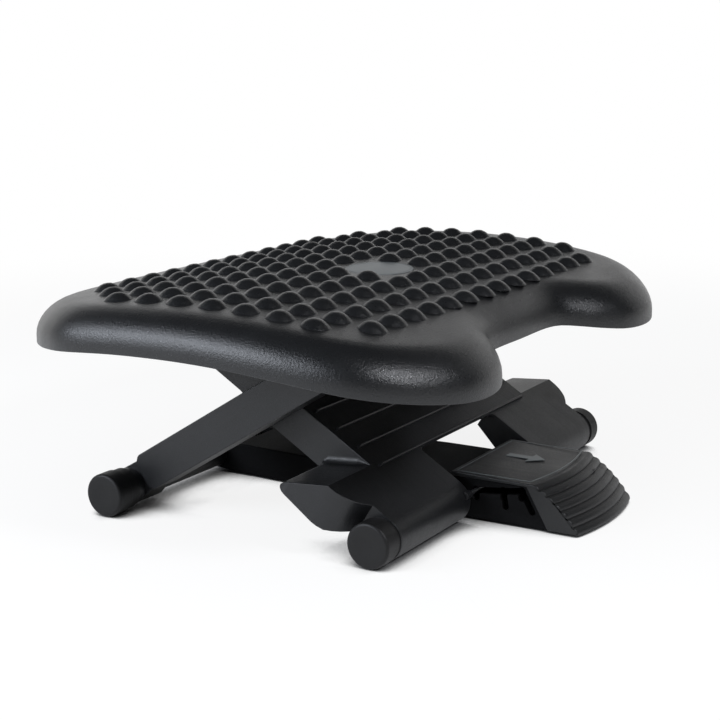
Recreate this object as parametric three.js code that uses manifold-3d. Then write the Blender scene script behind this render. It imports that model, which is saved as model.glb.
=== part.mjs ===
// Tilting under desk footrest: a bumped platform on a stand of two crossed leg frames, with a pedal rail.
// Millimetres, +Z up. The user sits on the -Y side, and the floor is at Z 0.

import * as THREE from 'three';
import { mergeGeometries, mergeVertices } from 'three/addons/utils/BufferGeometryUtils.js';
import Module from 'manifold-3d';

// Clearances and cuts
const runningGap = 0.3;
const overrun = 5;
const wall = 3;

// Facet counts
const outlineFacets = 88;
const roundFacets = 28;
const boreFacets = 20;
const smallFacets = 12;

// Stand: two crossed leg frames with round feet
const footRadius = 15.4;
const footSpacing = 213.8;
const standCentreY = -8.6;
const legAngle = THREE.MathUtils.degToRad(31.6);
const upperArmLength = 59.4;
const foldRange = THREE.MathUtils.degToRad(19.5);
const hookFoldShares = [0, 0.5, 1];

// Platform
const platformHalfWidth = 229.5;
const platformHalfDepth = 182;
const platformMidY = 7;
const platformRise = 15.5;
const crownRadiusFront = 730;
const crownRadiusBack = 865;
const rimDrop = 28;
const rimRoundDrop = 22;
const rimRoundInset = 27;
const platformWall = 3.5;
const crownStrips = 7;
const rimRoundAngles = [0, 35, 62, 90].map(THREE.MathUtils.degToRad);

// Half of the platform's outline from the middle of the front notch round to the middle of the back,
// as shares of the half width and of the half depth about the platform's middle
const outlineShares = [
  [0, -0.813], [0.2, -0.815], [0.264, -0.834], [0.323, -0.889], [0.381, -0.95], [0.466, -1.011],
  [0.582, -1.034], [0.688, -1.015], [0.807, -0.94], [0.895, -0.845], [0.951, -0.73], [0.985, -0.524],
  [0.998, -0.2], [1, 0.15], [0.99, 0.404], [0.945, 0.527], [0.882, 0.632], [0.776, 0.764],
  [0.64, 0.88], [0.46, 0.957], [0.24, 0.992], [0, 1],
];

// Massage bumps in rows across the platform
const bumpPitchX = 25;
const bumpPitchY = 25.65;
const bumpRadius = 9.8;
const bumpHeight = 5.6;
const bumpSink = 0.8;
const bumpFacets = 6;
const bumpShoulderShares = [0.64, 0.74];
const bumpRowCounts = [14, 16, 16, 16, 16, 16, 16, 16, 14, 12];
const badgeRows = [3, 4];
const badgeBumps = 2;

// Badge plate let into the platform
const badgeHalfWidth = 29;
const badgeHalfDepth = 24;
const badgeThickness = 1.4;
const badgeSeat = 0.3;

// Foot rods and their rubber caps
const rodRadius = 6;
const capReach = 26;
const capLength = 15.7;
const capRimRadius = 1.4;
const capNeckRadius = 12.4;
const capFloor = 8;
const rearCollarReach = 3;
const frontSleeveReach = 8.5;

// Rear leg frame: two outer bars joined by a sleeve round the rear foot rod
const barSideGap = 4;
const barWidth = 24;
const barBelow = 11.5;
const barStart = 17;
const barNoseLength = 4;
const barEndOverhang = 3;
const barFootRecess = 4;
const collarRadius = 13.2;
const sleeveRadius = 11;
const barRibs = 3;
const tiePlateStart = 34;
const tiePlateEnd = 60;
const tiePlateDrop = 2;

// Front leg frame: a ribbed plate with two sleeved arms, side wings and two rear arms
const plateHalfWidth = 117;
const plateSkinEnd = 140;
const wallBelow = 12;
const armSideGap = 8.5;
const cutoutEnd = 38.6;
const sideWallStart = 30;
const reliefEnd = 48;
const reliefSkin = 1.5;
const wingReach = 26;
const wingShoulder = 43;
const wingLength = 74;
const wingRearTopDrop = 4;
const wingTipDrop = 10.7;
const wingTipLength = 4.3;

// Underside of a wing from the middle to the foot, as shares of its length and of the foot's radius
const wingUndersideShares = [[0.531, -0.89], [0.424, -0.88], [0.223, -0.47]];

// Front leg frame: cuts, ridges and bosses
const wingCutGap = 0.8;
const wingCutRun = 8.8;
const ridgeStart = 39.8;
const ridgePitch = 19.45;
const ridgeCount = 5;
const ridgeEndGap = 6;
const ridgeThickness = 1.6;
const ridgeHeight = 2.4;
const ridgeChamfer = 8;
const rearArmBelow = 7;
const pivotBossLength = 7;

// Pivots of the stand
const scissorPinRadius = 3.4;
const scissorPinHeadRadius = 4.3;
const pinHeadGap = 0.434;
const scissorBossRadius = 7;
const upperBossRadius = 8;
const upperRodRadius = 3.5;
const slideRodRadius = 3;
const rollerRadius = 5;
const rollerSideGap = 0.4;
const clipRadius = 6;
const clipThickness = 1.2;

// Carriage under the platform
const cheekSideGap = 4;
const cheekThickness = 6;
const cheekEndRadius = 9;
const cheekArchDrop = 0.7;
const tieRadius = 4.5;
const tieOffsetY = 24;
const tieRise = 6.8;
const tieSpigotRadius = 3;

// Tilt axle and its fittings
const tiltAxleY = 0;
const tiltAxleRise = 22.8;
const tiltAxleRadius = 4;
const tiltBushRadius = 6.4;
const tiltBushFlange = 8.2;
const tiltBushFlangeThickness = 1.2;
const saddleSideGap = 1.1;
const saddleThickness = 10;
const saddleHalfDepth = 13;
const underRibShares = [2 / 3, 0.83];
const underRibLengthShare = 0.52;
const underRibDepth = 8;
const underRibPoints = 8;
const clampDepth = 8;
const clampScrewOffsetY = 8.5;
const screwRadius = 1.6;
const screwHeadRadius = 3.2;
const screwHeadHeight = 2.2;
const screwLength = 12;

// Pedal rail: a channel from the rear foot rod to the tread, with a hooked slot in each side
const railHalfWidth = 46.5;
const railRearHalfWidth = 38;
const railTaperStart = 55.5;
const railTaperEnd = 38.3;
const railWall = 3.5;
const railDeckHeight = 24;
const railFrontHeight = 29.5;
const railStepBehind = 6.5;
const railFrontTopAhead = 52;
const railFrontFootAhead = 68;
const railRingRadius = 12;
const railBlockLength = 20;
const railWebThickness = 2.5;
const railWebLength = 16;
const railWebShares = [-0.199, 0.26, 0.774];
const tongueHalfWidth = 40;
const tongueRise = 2.3;
const tongueStartAhead = 52.5;
const tongueEndAhead = 74.5;
const springWindowHalfWidth = 12.5;

// Latch pin in the front leg frame and the slot that it runs in
const latchPinRadius = 1.5;
const latchPinAhead = 14;
const latchPinRise = 6.1;
const latchPinSeat = 4.5;
const latchLugRadius = 3.6;
const trackHalfWidth = 2.4;
const hookHalfWidth = 2.9;
const hookDepth = 12.4;
const hookSlant = 1;
const trackSteps = 4;

// Pedal cover: a top plate and a stepped tread with a bowed front
const coverOverlap = 1.5;
const coverThickness = 3.2;
const coverRearBehind = 5;
const treadStartAhead = 56.5;
const treadControlAhead = 78;
const treadControlDrop = 10.5;
const treadFootAhead = 91.8;
const treadBow = 6.5;
const treadSteps = 6;
const treadRiserShare = 0.14;
const treadStations = 10;
const coverWall = 3;
const coverBossX = 24;
const coverBossAhead = 68.5;
const coverBossRadius = 4;

// Pedal spring round the rear foot rod
const springRadius = 9;
const springWire = 1.1;
const springCurls = 6;
const springStepsPerCurl = 8;
const springFacets = 5;

// Floor pads
const padThickness = 1.2;
const padHalfLength = 30;
const padHalfWidth = 6;

// Finishes
const moulded = { color: 0x1b1c1e, roughness: 0.62, metalness: 0 };
const mouldedDark = { color: 0x141517, roughness: 0.7, metalness: 0 };
const rubber = { color: 0x17181a, roughness: 0.85, metalness: 0 };
const steel = { color: 0xb4b6b8, roughness: 0.32, metalness: 1 };
const blackSteel = { color: 0x2a2b2d, roughness: 0.45, metalness: 0.9 };
const nylon = { color: 0x2b2c2e, roughness: 0.55, metalness: 0 };
const badgeFinish = { color: 0x4a4f52, roughness: 0.4, metalness: 0 };

// Places worked out from the sizes above
const rearFootY = standCentreY + footSpacing / 2;
const frontFootY = standCentreY - footSpacing / 2;
const pivotRise = (footRadius - wall - scissorPinHeadRadius - pinHeadGap) / Math.cos(legAngle);
const pivotOffset = [footSpacing / 2, (footSpacing / 2) * Math.tan(legAngle) + pivotRise];
const lowerArmLength = Math.hypot(...pivotOffset);
const pivotAngle = Math.atan2(pivotOffset[1], pivotOffset[0]);
const legLength = lowerArmLength + upperArmLength;
const pivotLean = pivotAngle - legAngle;
const scissorPivot = [lowerArmLength * Math.cos(pivotLean), lowerArmLength * Math.sin(pivotLean)];
const upperPivot = [legLength * Math.cos(pivotLean), legLength * Math.sin(pivotLean)];
const upperPivotHeight = footRadius + legLength * Math.sin(pivotAngle);
const upperRearLegY = rearFootY - legLength * Math.cos(pivotAngle);
const slideRodY = frontFootY + legLength * Math.cos(pivotAngle);
const slideTravel = 2 * upperArmLength * (Math.cos(pivotAngle - foldRange) - Math.cos(pivotAngle));
const platformBack = platformMidY + platformHalfDepth;
const barInnerX = plateHalfWidth + barSideGap;
const barOuterX = barInnerX + barWidth;
const rearCollarOuterX = barOuterX + rearCollarReach;
const frontSleeveOuterX = barOuterX + frontSleeveReach;
const wingOuterX = barOuterX + wingReach;
const capOuterX = barOuterX + capReach;
const ridgeHalfLength = plateHalfWidth - ridgeEndGap;
const pivotBossInnerX = plateHalfWidth - pivotBossLength;
const cheekOuterX = pivotBossInnerX - cheekSideGap;
const cheekInnerX = cheekOuterX - cheekThickness;
const cheekArchHeight = upperPivotHeight - cheekArchDrop;
const tieHeight = upperPivotHeight + tieRise;
const tiltAxleHeight = upperPivotHeight + tiltAxleRise;
const platformTop = tiltAxleHeight + platformRise;
const saddleInnerX = cheekOuterX + runningGap + tiltBushFlangeThickness + saddleSideGap;
const saddleOuterX = saddleInnerX + saddleThickness;
const coverHalfWidth = railHalfWidth + coverOverlap;
const armInnerX = coverHalfWidth + armSideGap;
const latchPinHalfLength = armInnerX + latchPinSeat;
const railUnderside = padThickness + runningGap;
const railTaperStartY = frontFootY + railTaperStart;
const railTaperEndY = rearFootY - railTaperEnd;
const railStepY = frontFootY + railStepBehind;
const railFrontTopY = frontFootY - railFrontTopAhead;
const railFrontFootY = frontFootY - railFrontFootAhead;
const railWebYs = railWebShares.map((share) => frontFootY + share * footSpacing);
const tongueUnderside = railUnderside + tongueRise;
const tongueStartY = frontFootY - tongueStartAhead;
const tongueEndY = frontFootY - tongueEndAhead;
const coverRearY = frontFootY + coverRearBehind;
const coverTop = railFrontHeight + runningGap + coverThickness;
const coverBossY = frontFootY - coverBossAhead;
const treadStartY = frontFootY - treadStartAhead;
const treadControl = [frontFootY - treadControlAhead, coverTop - treadControlDrop];
const treadFootY = frontFootY - treadFootAhead;
const treadFront = treadFootY - treadBow;

const wasm = await Module();
wasm.setup();

// Turns a closed geometry into a solid that can be joined and cut
function solid(geometry) {
  geometry.deleteAttribute('normal');
  geometry.deleteAttribute('uv');
  const merged = mergeVertices(geometry);
  const vertProperties = new Float32Array(merged.attributes.position.array);
  const triVerts = new Uint32Array(merged.index.array);
  return new wasm.Manifold(new wasm.Mesh({ numProp: 3, vertProperties, triVerts }));
}

// Turns a solid back into a geometry
function toGeometry(body) {
  const { numProp, vertProperties, triVerts } = body.getMesh();
  const geometry = new THREE.BufferGeometry();
  const positions = new Float32Array((vertProperties.length / numProp) * 3);
  for (let i = 0; i < positions.length / 3; i += 1) {
    for (let k = 0; k < 3; k += 1) positions[3 * i + k] = vertProperties[numProp * i + k];
  }
  geometry.setAttribute('position', new THREE.BufferAttribute(positions, 3));
  geometry.setIndex(new THREE.BufferAttribute(new Uint32Array(triVerts), 1));
  geometry.computeVertexNormals();
  return geometry;
}

function join(...bodies) {
  return bodies.reduce((whole, body) => whole.add(body));
}

function cut(body, ...cutters) {
  return cutters.reduce((rest, cutter) => rest.subtract(cutter), body);
}

function piece(name, body, finish) {
  const geometry = body.getMesh ? toGeometry(body) : body;
  const mesh = new THREE.Mesh(geometry, new THREE.MeshStandardMaterial(finish));
  mesh.name = name;
  return mesh;
}

// The two ends of a span on one side of the middle plane, lowest first
function span(side, inner, outer) {
  return side > 0 ? [inner, outer] : [-outer, -inner];
}

// A prism along X with an outline of [y, z] points
function prismX(outline, [x0, x1]) {
  const shape = new THREE.Shape(outline.map(([y, z]) => new THREE.Vector2(y, z)));
  const geometry = new THREE.ExtrudeGeometry(shape, { depth: x1 - x0, bevelEnabled: false });
  const toYZ = new THREE.Matrix4().makeBasis(
    new THREE.Vector3(0, 1, 0), new THREE.Vector3(0, 0, 1), new THREE.Vector3(1, 0, 0));
  geometry.applyMatrix4(toYZ);
  geometry.translate(x0, 0, 0);
  return solid(geometry);
}

// A prism along Z with an outline of [x, y] points
function prismZ(outline, [z0, z1]) {
  const shape = new THREE.Shape(outline.map(([x, y]) => new THREE.Vector2(x, y)));
  const geometry = new THREE.ExtrudeGeometry(shape, { depth: z1 - z0, bevelEnabled: false });
  geometry.translate(0, 0, z0);
  return solid(geometry);
}

function block([x0, x1], [y0, y1], [z0, z1]) {
  return prismX([[y0, z0], [y1, z0], [y1, z1], [y0, z1]], [x0, x1]);
}

// A round bar along X centred on [y, z]
function barX(radius, [x0, x1], [y, z], facets = roundFacets) {
  const geometry = new THREE.CylinderGeometry(radius, radius, x1 - x0, facets);
  geometry.rotateZ(-Math.PI / 2);
  geometry.translate((x0 + x1) / 2, y, z);
  return solid(geometry);
}

// A round bar along Z centred on [x, y]
function barZ(radius, [z0, z1], [x, y], facets = smallFacets) {
  const geometry = new THREE.CylinderGeometry(radius, radius, z1 - z0, facets);
  geometry.rotateX(Math.PI / 2);
  geometry.translate(x, y, (z0 + z1) / 2);
  return solid(geometry);
}

// A turned piece about the X axis from [x, radius] points, which start and end on the axis or close
// on themselves
function turned(profile, side, facets = roundFacets) {
  const points = profile.map(([x, radius]) => new THREE.Vector2(radius, x));
  const geometry = new THREE.LatheGeometry(points, facets);
  geometry.rotateZ(side > 0 ? -Math.PI / 2 : Math.PI / 2);
  return solid(geometry);
}

// A slot cutter along X: a straight run from one [y, z] place to another with round ends
function slotX([y0, z0], [y1, z1], halfWidth, [x0, x1]) {
  const along = new THREE.Vector2(y1 - y0, z1 - z0).normalize();
  const across = [-along.y * halfWidth, along.x * halfWidth];
  const run = prismX([
    [y0 + across[0], z0 + across[1]], [y1 + across[0], z1 + across[1]],
    [y1 - across[0], z1 - across[1]], [y0 - across[0], z0 - across[1]],
  ], [x0, x1]);
  const ends = [[y0, z0], [y1, z1]].map((place) => barX(halfWidth, [x0, x1], place, boreFacets));
  return join(run, ...ends);
}

// Foot rods, caps and rod ends

function footCap(side, neckStart) {
  const capInner = capOuterX - capLength;
  const bore = rodRadius + runningGap;
  const profile = [
    [neckStart, bore], [neckStart, capNeckRadius], [capInner, capNeckRadius],
    [capInner, footRadius - capRimRadius / 2], [capInner + capRimRadius / 2, footRadius],
    [capOuterX - capRimRadius, footRadius], [capOuterX - capRimRadius / 3, footRadius - capRimRadius / 3],
    [capOuterX, footRadius - capRimRadius], [capOuterX, 0], [capOuterX - capFloor, 0],
    [capOuterX - capFloor, bore], [neckStart, bore],
  ];
  return turned(profile, side);
}

function footRodSpan() {
  const end = capOuterX - capFloor - runningGap;
  return [-end, end];
}

// Rear leg frame, in its own axes: it climbs along -Y from the rear foot rod, and Z is square to the bars

function climbRear(points) {
  return points.map(([s, n]) => [-s, n]);
}

function rearBar(side) {
  const end = upperPivot[0] + upperBossRadius;
  const outline = climbRear([
    [barStart + barNoseLength, -barBelow], [barStart, -barBelow + barNoseLength],
    [barStart, footRadius - barNoseLength], [barStart + barNoseLength, footRadius],
    [upperPivot[0] - upperBossRadius, footRadius], [upperPivot[0], upperPivot[1] + upperBossRadius],
    [end, upperPivot[1]], [end - barEndOverhang, -barBelow],
  ]);
  const hollow = climbRear([
    [barStart + barNoseLength + wall, wall - barBelow], [barStart + barNoseLength + wall, footRadius - wall],
    [upperPivot[0] - upperBossRadius - wall, footRadius - wall],
    [upperPivot[0] - upperBossRadius - wall, wall - barBelow],
  ]);
  const ribs = Array.from({ length: barRibs }, (_, i) => {
    const s = barStart + ((i + 1) * (scissorPivot[0] - barStart)) / (barRibs + 1);
    const [x0, x1] = span(side, barInnerX, barOuterX - wall / 2);
    return block([x0, x1], [-s - wall / 2, -s + wall / 2], [wall / 2 - barBelow, footRadius - wall / 2]);
  });
  const full = span(side, barInnerX, barOuterX);
  const foot = climbRear([
    [0, collarRadius], [0, -collarRadius], [barStart + barNoseLength + wall, wall - barBelow],
    [barStart + barNoseLength + wall, footRadius - wall],
  ]);
  return join(
    cut(prismX(outline, full), prismX(hollow, span(side, barInnerX - overrun, barOuterX - wall))),
    ...ribs,
    barX(scissorBossRadius, span(side, barInnerX, barOuterX - wall / 2), [-scissorPivot[0], scissorPivot[1]]),
    barX(upperBossRadius, full, [-upperPivot[0], upperPivot[1]]),
    prismX(foot, span(side, barInnerX, barOuterX - barFootRecess)),
    barX(collarRadius, span(side, barInnerX - overrun, rearCollarOuterX), [0, 0]),
    barX(sleeveRadius, span(side, railRearHalfWidth + 2 * runningGap, barInnerX), [0, 0]));
}

function rearLegFrame() {
  const tieTop = footRadius - tiePlateDrop;
  const tie = prismX(climbRear([
    [tiePlateStart, tieTop - wall], [tiePlateEnd, tieTop - wall], [tiePlateEnd, tieTop],
    [tiePlateStart, tieTop],
  ]), [-barInnerX - wall, barInnerX + wall]);
  const bores = [1, -1].flatMap((side) => [
    barX(rodRadius + runningGap, span(side, 0, rearCollarOuterX + overrun), [0, 0], boreFacets),
    barX(scissorPinRadius + runningGap, span(side, barInnerX - overrun, barOuterX - wall),
      [-scissorPivot[0], scissorPivot[1]], boreFacets),
    barX(upperRodRadius + runningGap, span(side, barInnerX - overrun, barOuterX - wall),
      [-upperPivot[0], upperPivot[1]], boreFacets),
  ]);
  return cut(join(rearBar(1), rearBar(-1), tie), ...bores);
}

function scissorPin(side) {
  const head = pivotBossInnerX - runningGap;
  const headRadius = scissorPinHeadRadius;
  const tip = barOuterX - wall - runningGap;
  return turned([
    [head - wall, 0], [head - wall, headRadius], [head, headRadius], [head, scissorPinRadius],
    [tip, scissorPinRadius], [tip, 0],
  ], side);
}

function ring(side, [x0, x1], inner, outer) {
  return turned([[x0, inner], [x0, outer], [x1, outer], [x1, inner], [x0, inner]], side);
}

// Front leg frame, in its own axes: it climbs along +Y from the front foot rods, and Z is square to the plate

function legPoint([y, z]) {
  return [y * Math.cos(legAngle) + z * Math.sin(legAngle), z * Math.cos(legAngle) - y * Math.sin(legAngle)];
}

function plateSide(side) {
  const end = upperPivot[0] + upperBossRadius;
  const outline = [
    [sideWallStart, -wallBelow], [sideWallStart, footRadius], [upperPivot[0] - upperBossRadius, footRadius],
    [upperPivot[0], upperPivot[1] + upperBossRadius], [end, upperPivot[1]], [end - wall, -rearArmBelow],
    [plateSkinEnd + wallBelow, -rearArmBelow], [plateSkinEnd - wallBelow, -wallBelow],
  ];
  const bosses = [[scissorPivot, scissorBossRadius], [upperPivot, upperBossRadius]];
  return join(
    prismX(outline, span(side, plateHalfWidth - wall, plateHalfWidth)),
    ...bosses.map(([place, radius]) => barX(radius, span(side, pivotBossInnerX, plateHalfWidth), place)));
}

function frontArm(side) {
  const skin = footRadius - wall;
  const web = [[0, footRadius], [wingShoulder, footRadius], [wingShoulder, 0], [footRadius, -footRadius / 2]];
  const top = [[0, skin], [wingShoulder, skin], [wingShoulder, footRadius], [0, footRadius]];
  const lug = legPoint([-latchPinAhead, latchPinRise]);
  return join(
    barX(footRadius, span(side, armInnerX, frontSleeveOuterX), [0, 0]),
    prismX(top, span(side, armInnerX, frontSleeveOuterX)),
    prismX(web, span(side, armInnerX, armInnerX + wall)),
    prismX(web, span(side, frontSleeveOuterX - wall, frontSleeveOuterX)),
    barX(latchLugRadius, span(side, armInnerX, latchPinHalfLength + wall), lug, boreFacets));
}

function wing(side) {
  const wingTopEnd = wingLength - wingTipLength;
  const outline = [
    [footRadius - wall, footRadius], [wingShoulder, footRadius], [wingTopEnd, -wingRearTopDrop],
    [wingLength, -wingTipDrop],
    ...wingUndersideShares.map(([along, below]) => [along * wingLength, below * footRadius]),
    [footRadius / 2, footRadius / 2],
  ];
  const hollow = [
    [sideWallStart - 2 * wall, footRadius - wall], [wingShoulder - wall / 2, footRadius - wall],
    [wingTopEnd - wall, -wingRearTopDrop - wall / 2], [wingTopEnd - wall, -footRadius - overrun],
    [sideWallStart - 2 * wall, -footRadius - overrun],
  ];
  const cutStart = footRadius + wingCutGap;
  const corner = [
    [frontSleeveOuterX, cutStart], [frontSleeveOuterX, -footRadius - overrun],
    [wingOuterX + overrun, -footRadius - overrun],
    [wingOuterX + overrun, cutStart + wingCutRun + overrun],
  ].map(([x, y]) => [side * x, y]);
  return cut(
    prismX(outline, span(side, plateHalfWidth - wall, wingOuterX)),
    prismX(hollow, span(side, plateHalfWidth, wingOuterX - 2 * wall)),
    prismZ(corner, [-footRadius - overrun, footRadius + overrun]));
}

// A prism along Y with an outline of [x, z] points
function prismY(outline, [y0, y1]) {
  const shape = new THREE.Shape(outline.map(([x, z]) => new THREE.Vector2(x, z)));
  const geometry = new THREE.ExtrudeGeometry(shape, { depth: y1 - y0, bevelEnabled: false });
  geometry.rotateX(Math.PI / 2);
  geometry.translate(0, y1, 0);
  return solid(geometry);
}

function ridge(index) {
  const s = ridgeStart + index * ridgePitch;
  const foot = footRadius - wall / 2;
  const crest = footRadius + ridgeHeight;
  const outline = [
    [-ridgeHalfLength, foot], [ridgeHalfLength, foot], [ridgeHalfLength, footRadius],
    [ridgeHalfLength - ridgeChamfer, crest], [ridgeChamfer - ridgeHalfLength, crest],
    [-ridgeHalfLength, footRadius],
  ];
  return prismY(outline, [s - ridgeThickness / 2, s + ridgeThickness / 2]);
}

function frontLegFrame() {
  const skin = footRadius - wall;
  const plate = block([-plateHalfWidth, plateHalfWidth], [cutoutEnd, plateSkinEnd], [skin, footRadius]);
  const relief = block([-coverHalfWidth - wall, coverHalfWidth + wall], [cutoutEnd - overrun, reliefEnd],
    [skin - overrun, footRadius - reliefSkin]);
  const sides = [1, -1].flatMap((side) => [plateSide(side), frontArm(side), wing(side)]);
  const ridges = Array.from({ length: ridgeCount }, (_, i) => ridge(i));
  const bores = [1, -1].flatMap((side) => [
    barX(rodRadius + runningGap, span(side, armInnerX + wall, frontSleeveOuterX + overrun),
      [0, 0], boreFacets),
    barX(scissorPinRadius + runningGap, span(side, cheekOuterX, plateHalfWidth + overrun),
      scissorPivot, boreFacets),
    barX(slideRodRadius + runningGap, span(side, cheekOuterX, plateHalfWidth + overrun),
      upperPivot, boreFacets),
    barX(latchPinRadius + runningGap, span(side, armInnerX - overrun, latchPinHalfLength + runningGap),
      legPoint([-latchPinAhead, latchPinRise]), boreFacets),
  ]);
  return cut(join(plate, ...sides, ...ridges), relief, ...bores);
}

// Carriage under the platform

const slotStart = [slideRodY, upperPivotHeight];
const slotEnd = [slideRodY + slideTravel, upperPivotHeight];

function cheek(side) {
  const spanX = span(side, cheekInnerX, cheekOuterX);
  const cutX = span(side, cheekInnerX - overrun, cheekOuterX + overrun);
  const low = upperPivotHeight - cheekEndRadius;
  const high = upperPivotHeight + cheekEndRadius;
  const outline = [
    [upperRearLegY, low], [upperRearLegY + cheekEndRadius, cheekArchHeight],
    [slideRodY - cheekEndRadius, cheekArchHeight], [slideRodY, low], [slotEnd[0], low], [slotEnd[0], high],
    [tiltAxleY + cheekEndRadius, tiltAxleHeight], [tiltAxleY - cheekEndRadius, tiltAxleHeight],
    [upperRearLegY, high],
  ];
  const body = join(
    prismX(outline, spanX),
    barX(cheekEndRadius, spanX, [upperRearLegY, upperPivotHeight]),
    barX(cheekEndRadius, spanX, slotEnd),
    barX(cheekEndRadius, spanX, [tiltAxleY, tiltAxleHeight]));
  return cut(body,
    barX(upperRodRadius + runningGap, cutX, [upperRearLegY, upperPivotHeight], boreFacets),
    slotX(slotStart, slotEnd, rollerRadius + runningGap, cutX),
    barX(tiltBushRadius + runningGap, cutX, [tiltAxleY, tiltAxleHeight], boreFacets),
    ...[1, -1].map((end) => barX(tieSpigotRadius + runningGap, cutX, [end * tieOffsetY, tieHeight],
      smallFacets)));
}

function tieBar(end) {
  const shoulder = cheekInnerX - runningGap;
  const place = [end * tieOffsetY, tieHeight];
  return join(
    barX(tieRadius, [-shoulder, shoulder], place, smallFacets),
    barX(tieSpigotRadius, [-cheekOuterX, cheekOuterX], place, smallFacets));
}

function tiltBush(side) {
  const bore = tiltAxleRadius + runningGap;
  const flange = cheekOuterX + runningGap;
  return turned([
    [cheekInnerX, bore], [cheekInnerX, tiltBushRadius], [flange, tiltBushRadius], [flange, tiltBushFlange],
    [flange + tiltBushFlangeThickness, tiltBushFlange], [flange + tiltBushFlangeThickness, bore],
    [cheekInnerX, bore],
  ], side, boreFacets);
}

// Platform

function crownHeight(y) {
  const radius = y < 0 ? crownRadiusFront : crownRadiusBack;
  return platformTop - (y * y) / (2 * radius);
}

function platformOutline() {
  const half = outlineShares.map(([x, y]) => [x * platformHalfWidth, platformMidY + y * platformHalfDepth]);
  const mirrored = half.slice(1, -1).reverse().map(([x, y]) => [-x, y]);
  const points = [...half, ...mirrored].map(([x, y]) => new THREE.Vector3(x, y, 0));
  return new THREE.CatmullRomCurve3(points, true, 'centripetal').getSpacedPoints(outlineFacets).slice(0, -1);
}

// The outline moved inwards square to itself
function insetOutline(outline, inset) {
  return outline.map((point, i) => {
    const before = outline.at(i - 1);
    const after = outline[(i + 1) % outline.length];
    const along = after.clone().sub(before).normalize();
    return [point.x - along.y * inset, point.y + along.x * inset];
  });
}

// One closed skin from a list of rings, with a fan to the middle point at each end of the list
function skinOfRings(rings, first, last) {
  const count = rings[0].length;
  const positions = [first, ...rings.flat(), last].flat();
  const index = [];
  const at = (ring, i) => 1 + ring * count + (i % count);
  for (let i = 0; i < count; i += 1) {
    index.push(0, at(0, i), at(0, i + 1));
    for (let ring = 0; ring < rings.length - 1; ring += 1) {
      index.push(at(ring, i), at(ring + 1, i), at(ring + 1, i + 1));
      index.push(at(ring, i), at(ring + 1, i + 1), at(ring, i + 1));
    }
    index.push(at(rings.length - 1, i + 1), at(rings.length - 1, i), 1 + rings.length * count);
  }
  const geometry = new THREE.BufferGeometry();
  geometry.setAttribute('position', new THREE.BufferAttribute(new Float32Array(positions), 3));
  geometry.setIndex(index);
  return solid(geometry);
}

// Everything under the crown line at a given depth, as a wide prism
function underCrown(depth) {
  const lobeReach = platformHalfDepth * Math.max(...outlineShares.map(([, y]) => Math.abs(y)));
  const from = platformMidY - lobeReach - overrun;
  const pitch = (lobeReach + overrun) / crownStrips;
  const ys = Array.from({ length: 2 * crownStrips + 1 }, (_, i) => from + i * pitch);
  const crown = ys.map((y) => [y, crownHeight(y) - depth]).reverse();
  const reach = platformHalfWidth + overrun;
  return prismX([[ys[0], 0], [ys.at(-1), 0], ...crown], [-reach, reach]);
}

// The rounded rim body at a given depth below the outer face, open upwards past the crown
function rimBody(outline, depth, foot) {
  const rimRing = (inset, drop) => insetOutline(outline, inset)
    .map(([x, y]) => [x, y, crownHeight(y) - drop]);
  const round = rimRoundAngles.map((angle) => rimRing(
    depth + (rimRoundInset - depth) * (1 - Math.sin(angle)),
    depth + (rimRoundDrop - depth) * (1 - Math.cos(angle))));
  return skinOfRings([rimRing(rimRoundInset, -overrun), ...round, rimRing(depth, rimDrop + foot)],
    [0, platformMidY, platformTop + overrun], [0, platformMidY, platformTop - rimDrop - foot]);
}

function platformTray() {
  const outline = platformOutline();
  const room = rimBody(outline, platformWall, overrun).intersect(underCrown(platformWall));
  return cut(rimBody(outline, 0, 0).intersect(underCrown(0)), room);
}

function bumpPlaces() {
  return bumpRowCounts.flatMap((count, row) => Array.from({ length: count }, (_, i) => i)
    .filter((i) => !(badgeRows.includes(row) && Math.abs(i - (count - 1) / 2) < badgeBumps / 2))
    .map((i) => [(i - (count - 1) / 2) * bumpPitchX, (row - (bumpRowCounts.length - 1) / 2) * bumpPitchY]));
}

function bumps() {
  const [shoulderRadius, shoulderHeight] = bumpShoulderShares;
  const profile = [
    [0, -bumpSink], [bumpRadius, -bumpSink], [bumpRadius * shoulderRadius, bumpHeight * shoulderHeight],
    [0, bumpHeight],
  ].map(([radius, height]) => new THREE.Vector2(radius, height));
  return solid(mergeGeometries(bumpPlaces().map(([x, y]) => {
    const geometry = new THREE.LatheGeometry(profile, bumpFacets);
    geometry.rotateX(Math.PI / 2);
    return geometry.translate(x, y, crownHeight(y));
  })));
}

function badgeOutline(margin) {
  const ellipse = new THREE.EllipseCurve(0, 0, badgeHalfWidth + margin, badgeHalfDepth + margin);
  return ellipse.getPoints(roundFacets).slice(0, -1).map((point) => [point.x, point.y]);
}

const badgeY = (badgeRows[0] + badgeRows[1] + 1 - bumpRowCounts.length) / 2 * bumpPitchY;
const badgeSlope = -badgeY / crownRadiusFront;

function underRib(x) {
  const halfLength = underRibLengthShare * platformHalfDepth;
  const ys = Array.from({ length: underRibPoints },
    (_, i) => halfLength * ((2 * i) / (underRibPoints - 1) - 1));
  const top = ys.map((y) => [y, crownHeight(y) - platformWall / 2]);
  const bottom = ys.map((y) => [y, crownHeight(y) - platformWall - underRibDepth]).reverse();
  return prismX([...top, ...bottom], [x - wall / 2, x + wall / 2]);
}

const saddleUnderside = tiltAxleHeight + runningGap;
const clampTop = tiltAxleHeight - runningGap;
const clampUnderside = clampTop - clampDepth;
const saddleMiddle = (saddleInnerX + saddleOuterX) / 2;
const screwPlacesOn = (side) => [1, -1].map((end) => [side * saddleMiddle, end * clampScrewOffsetY]);

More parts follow.
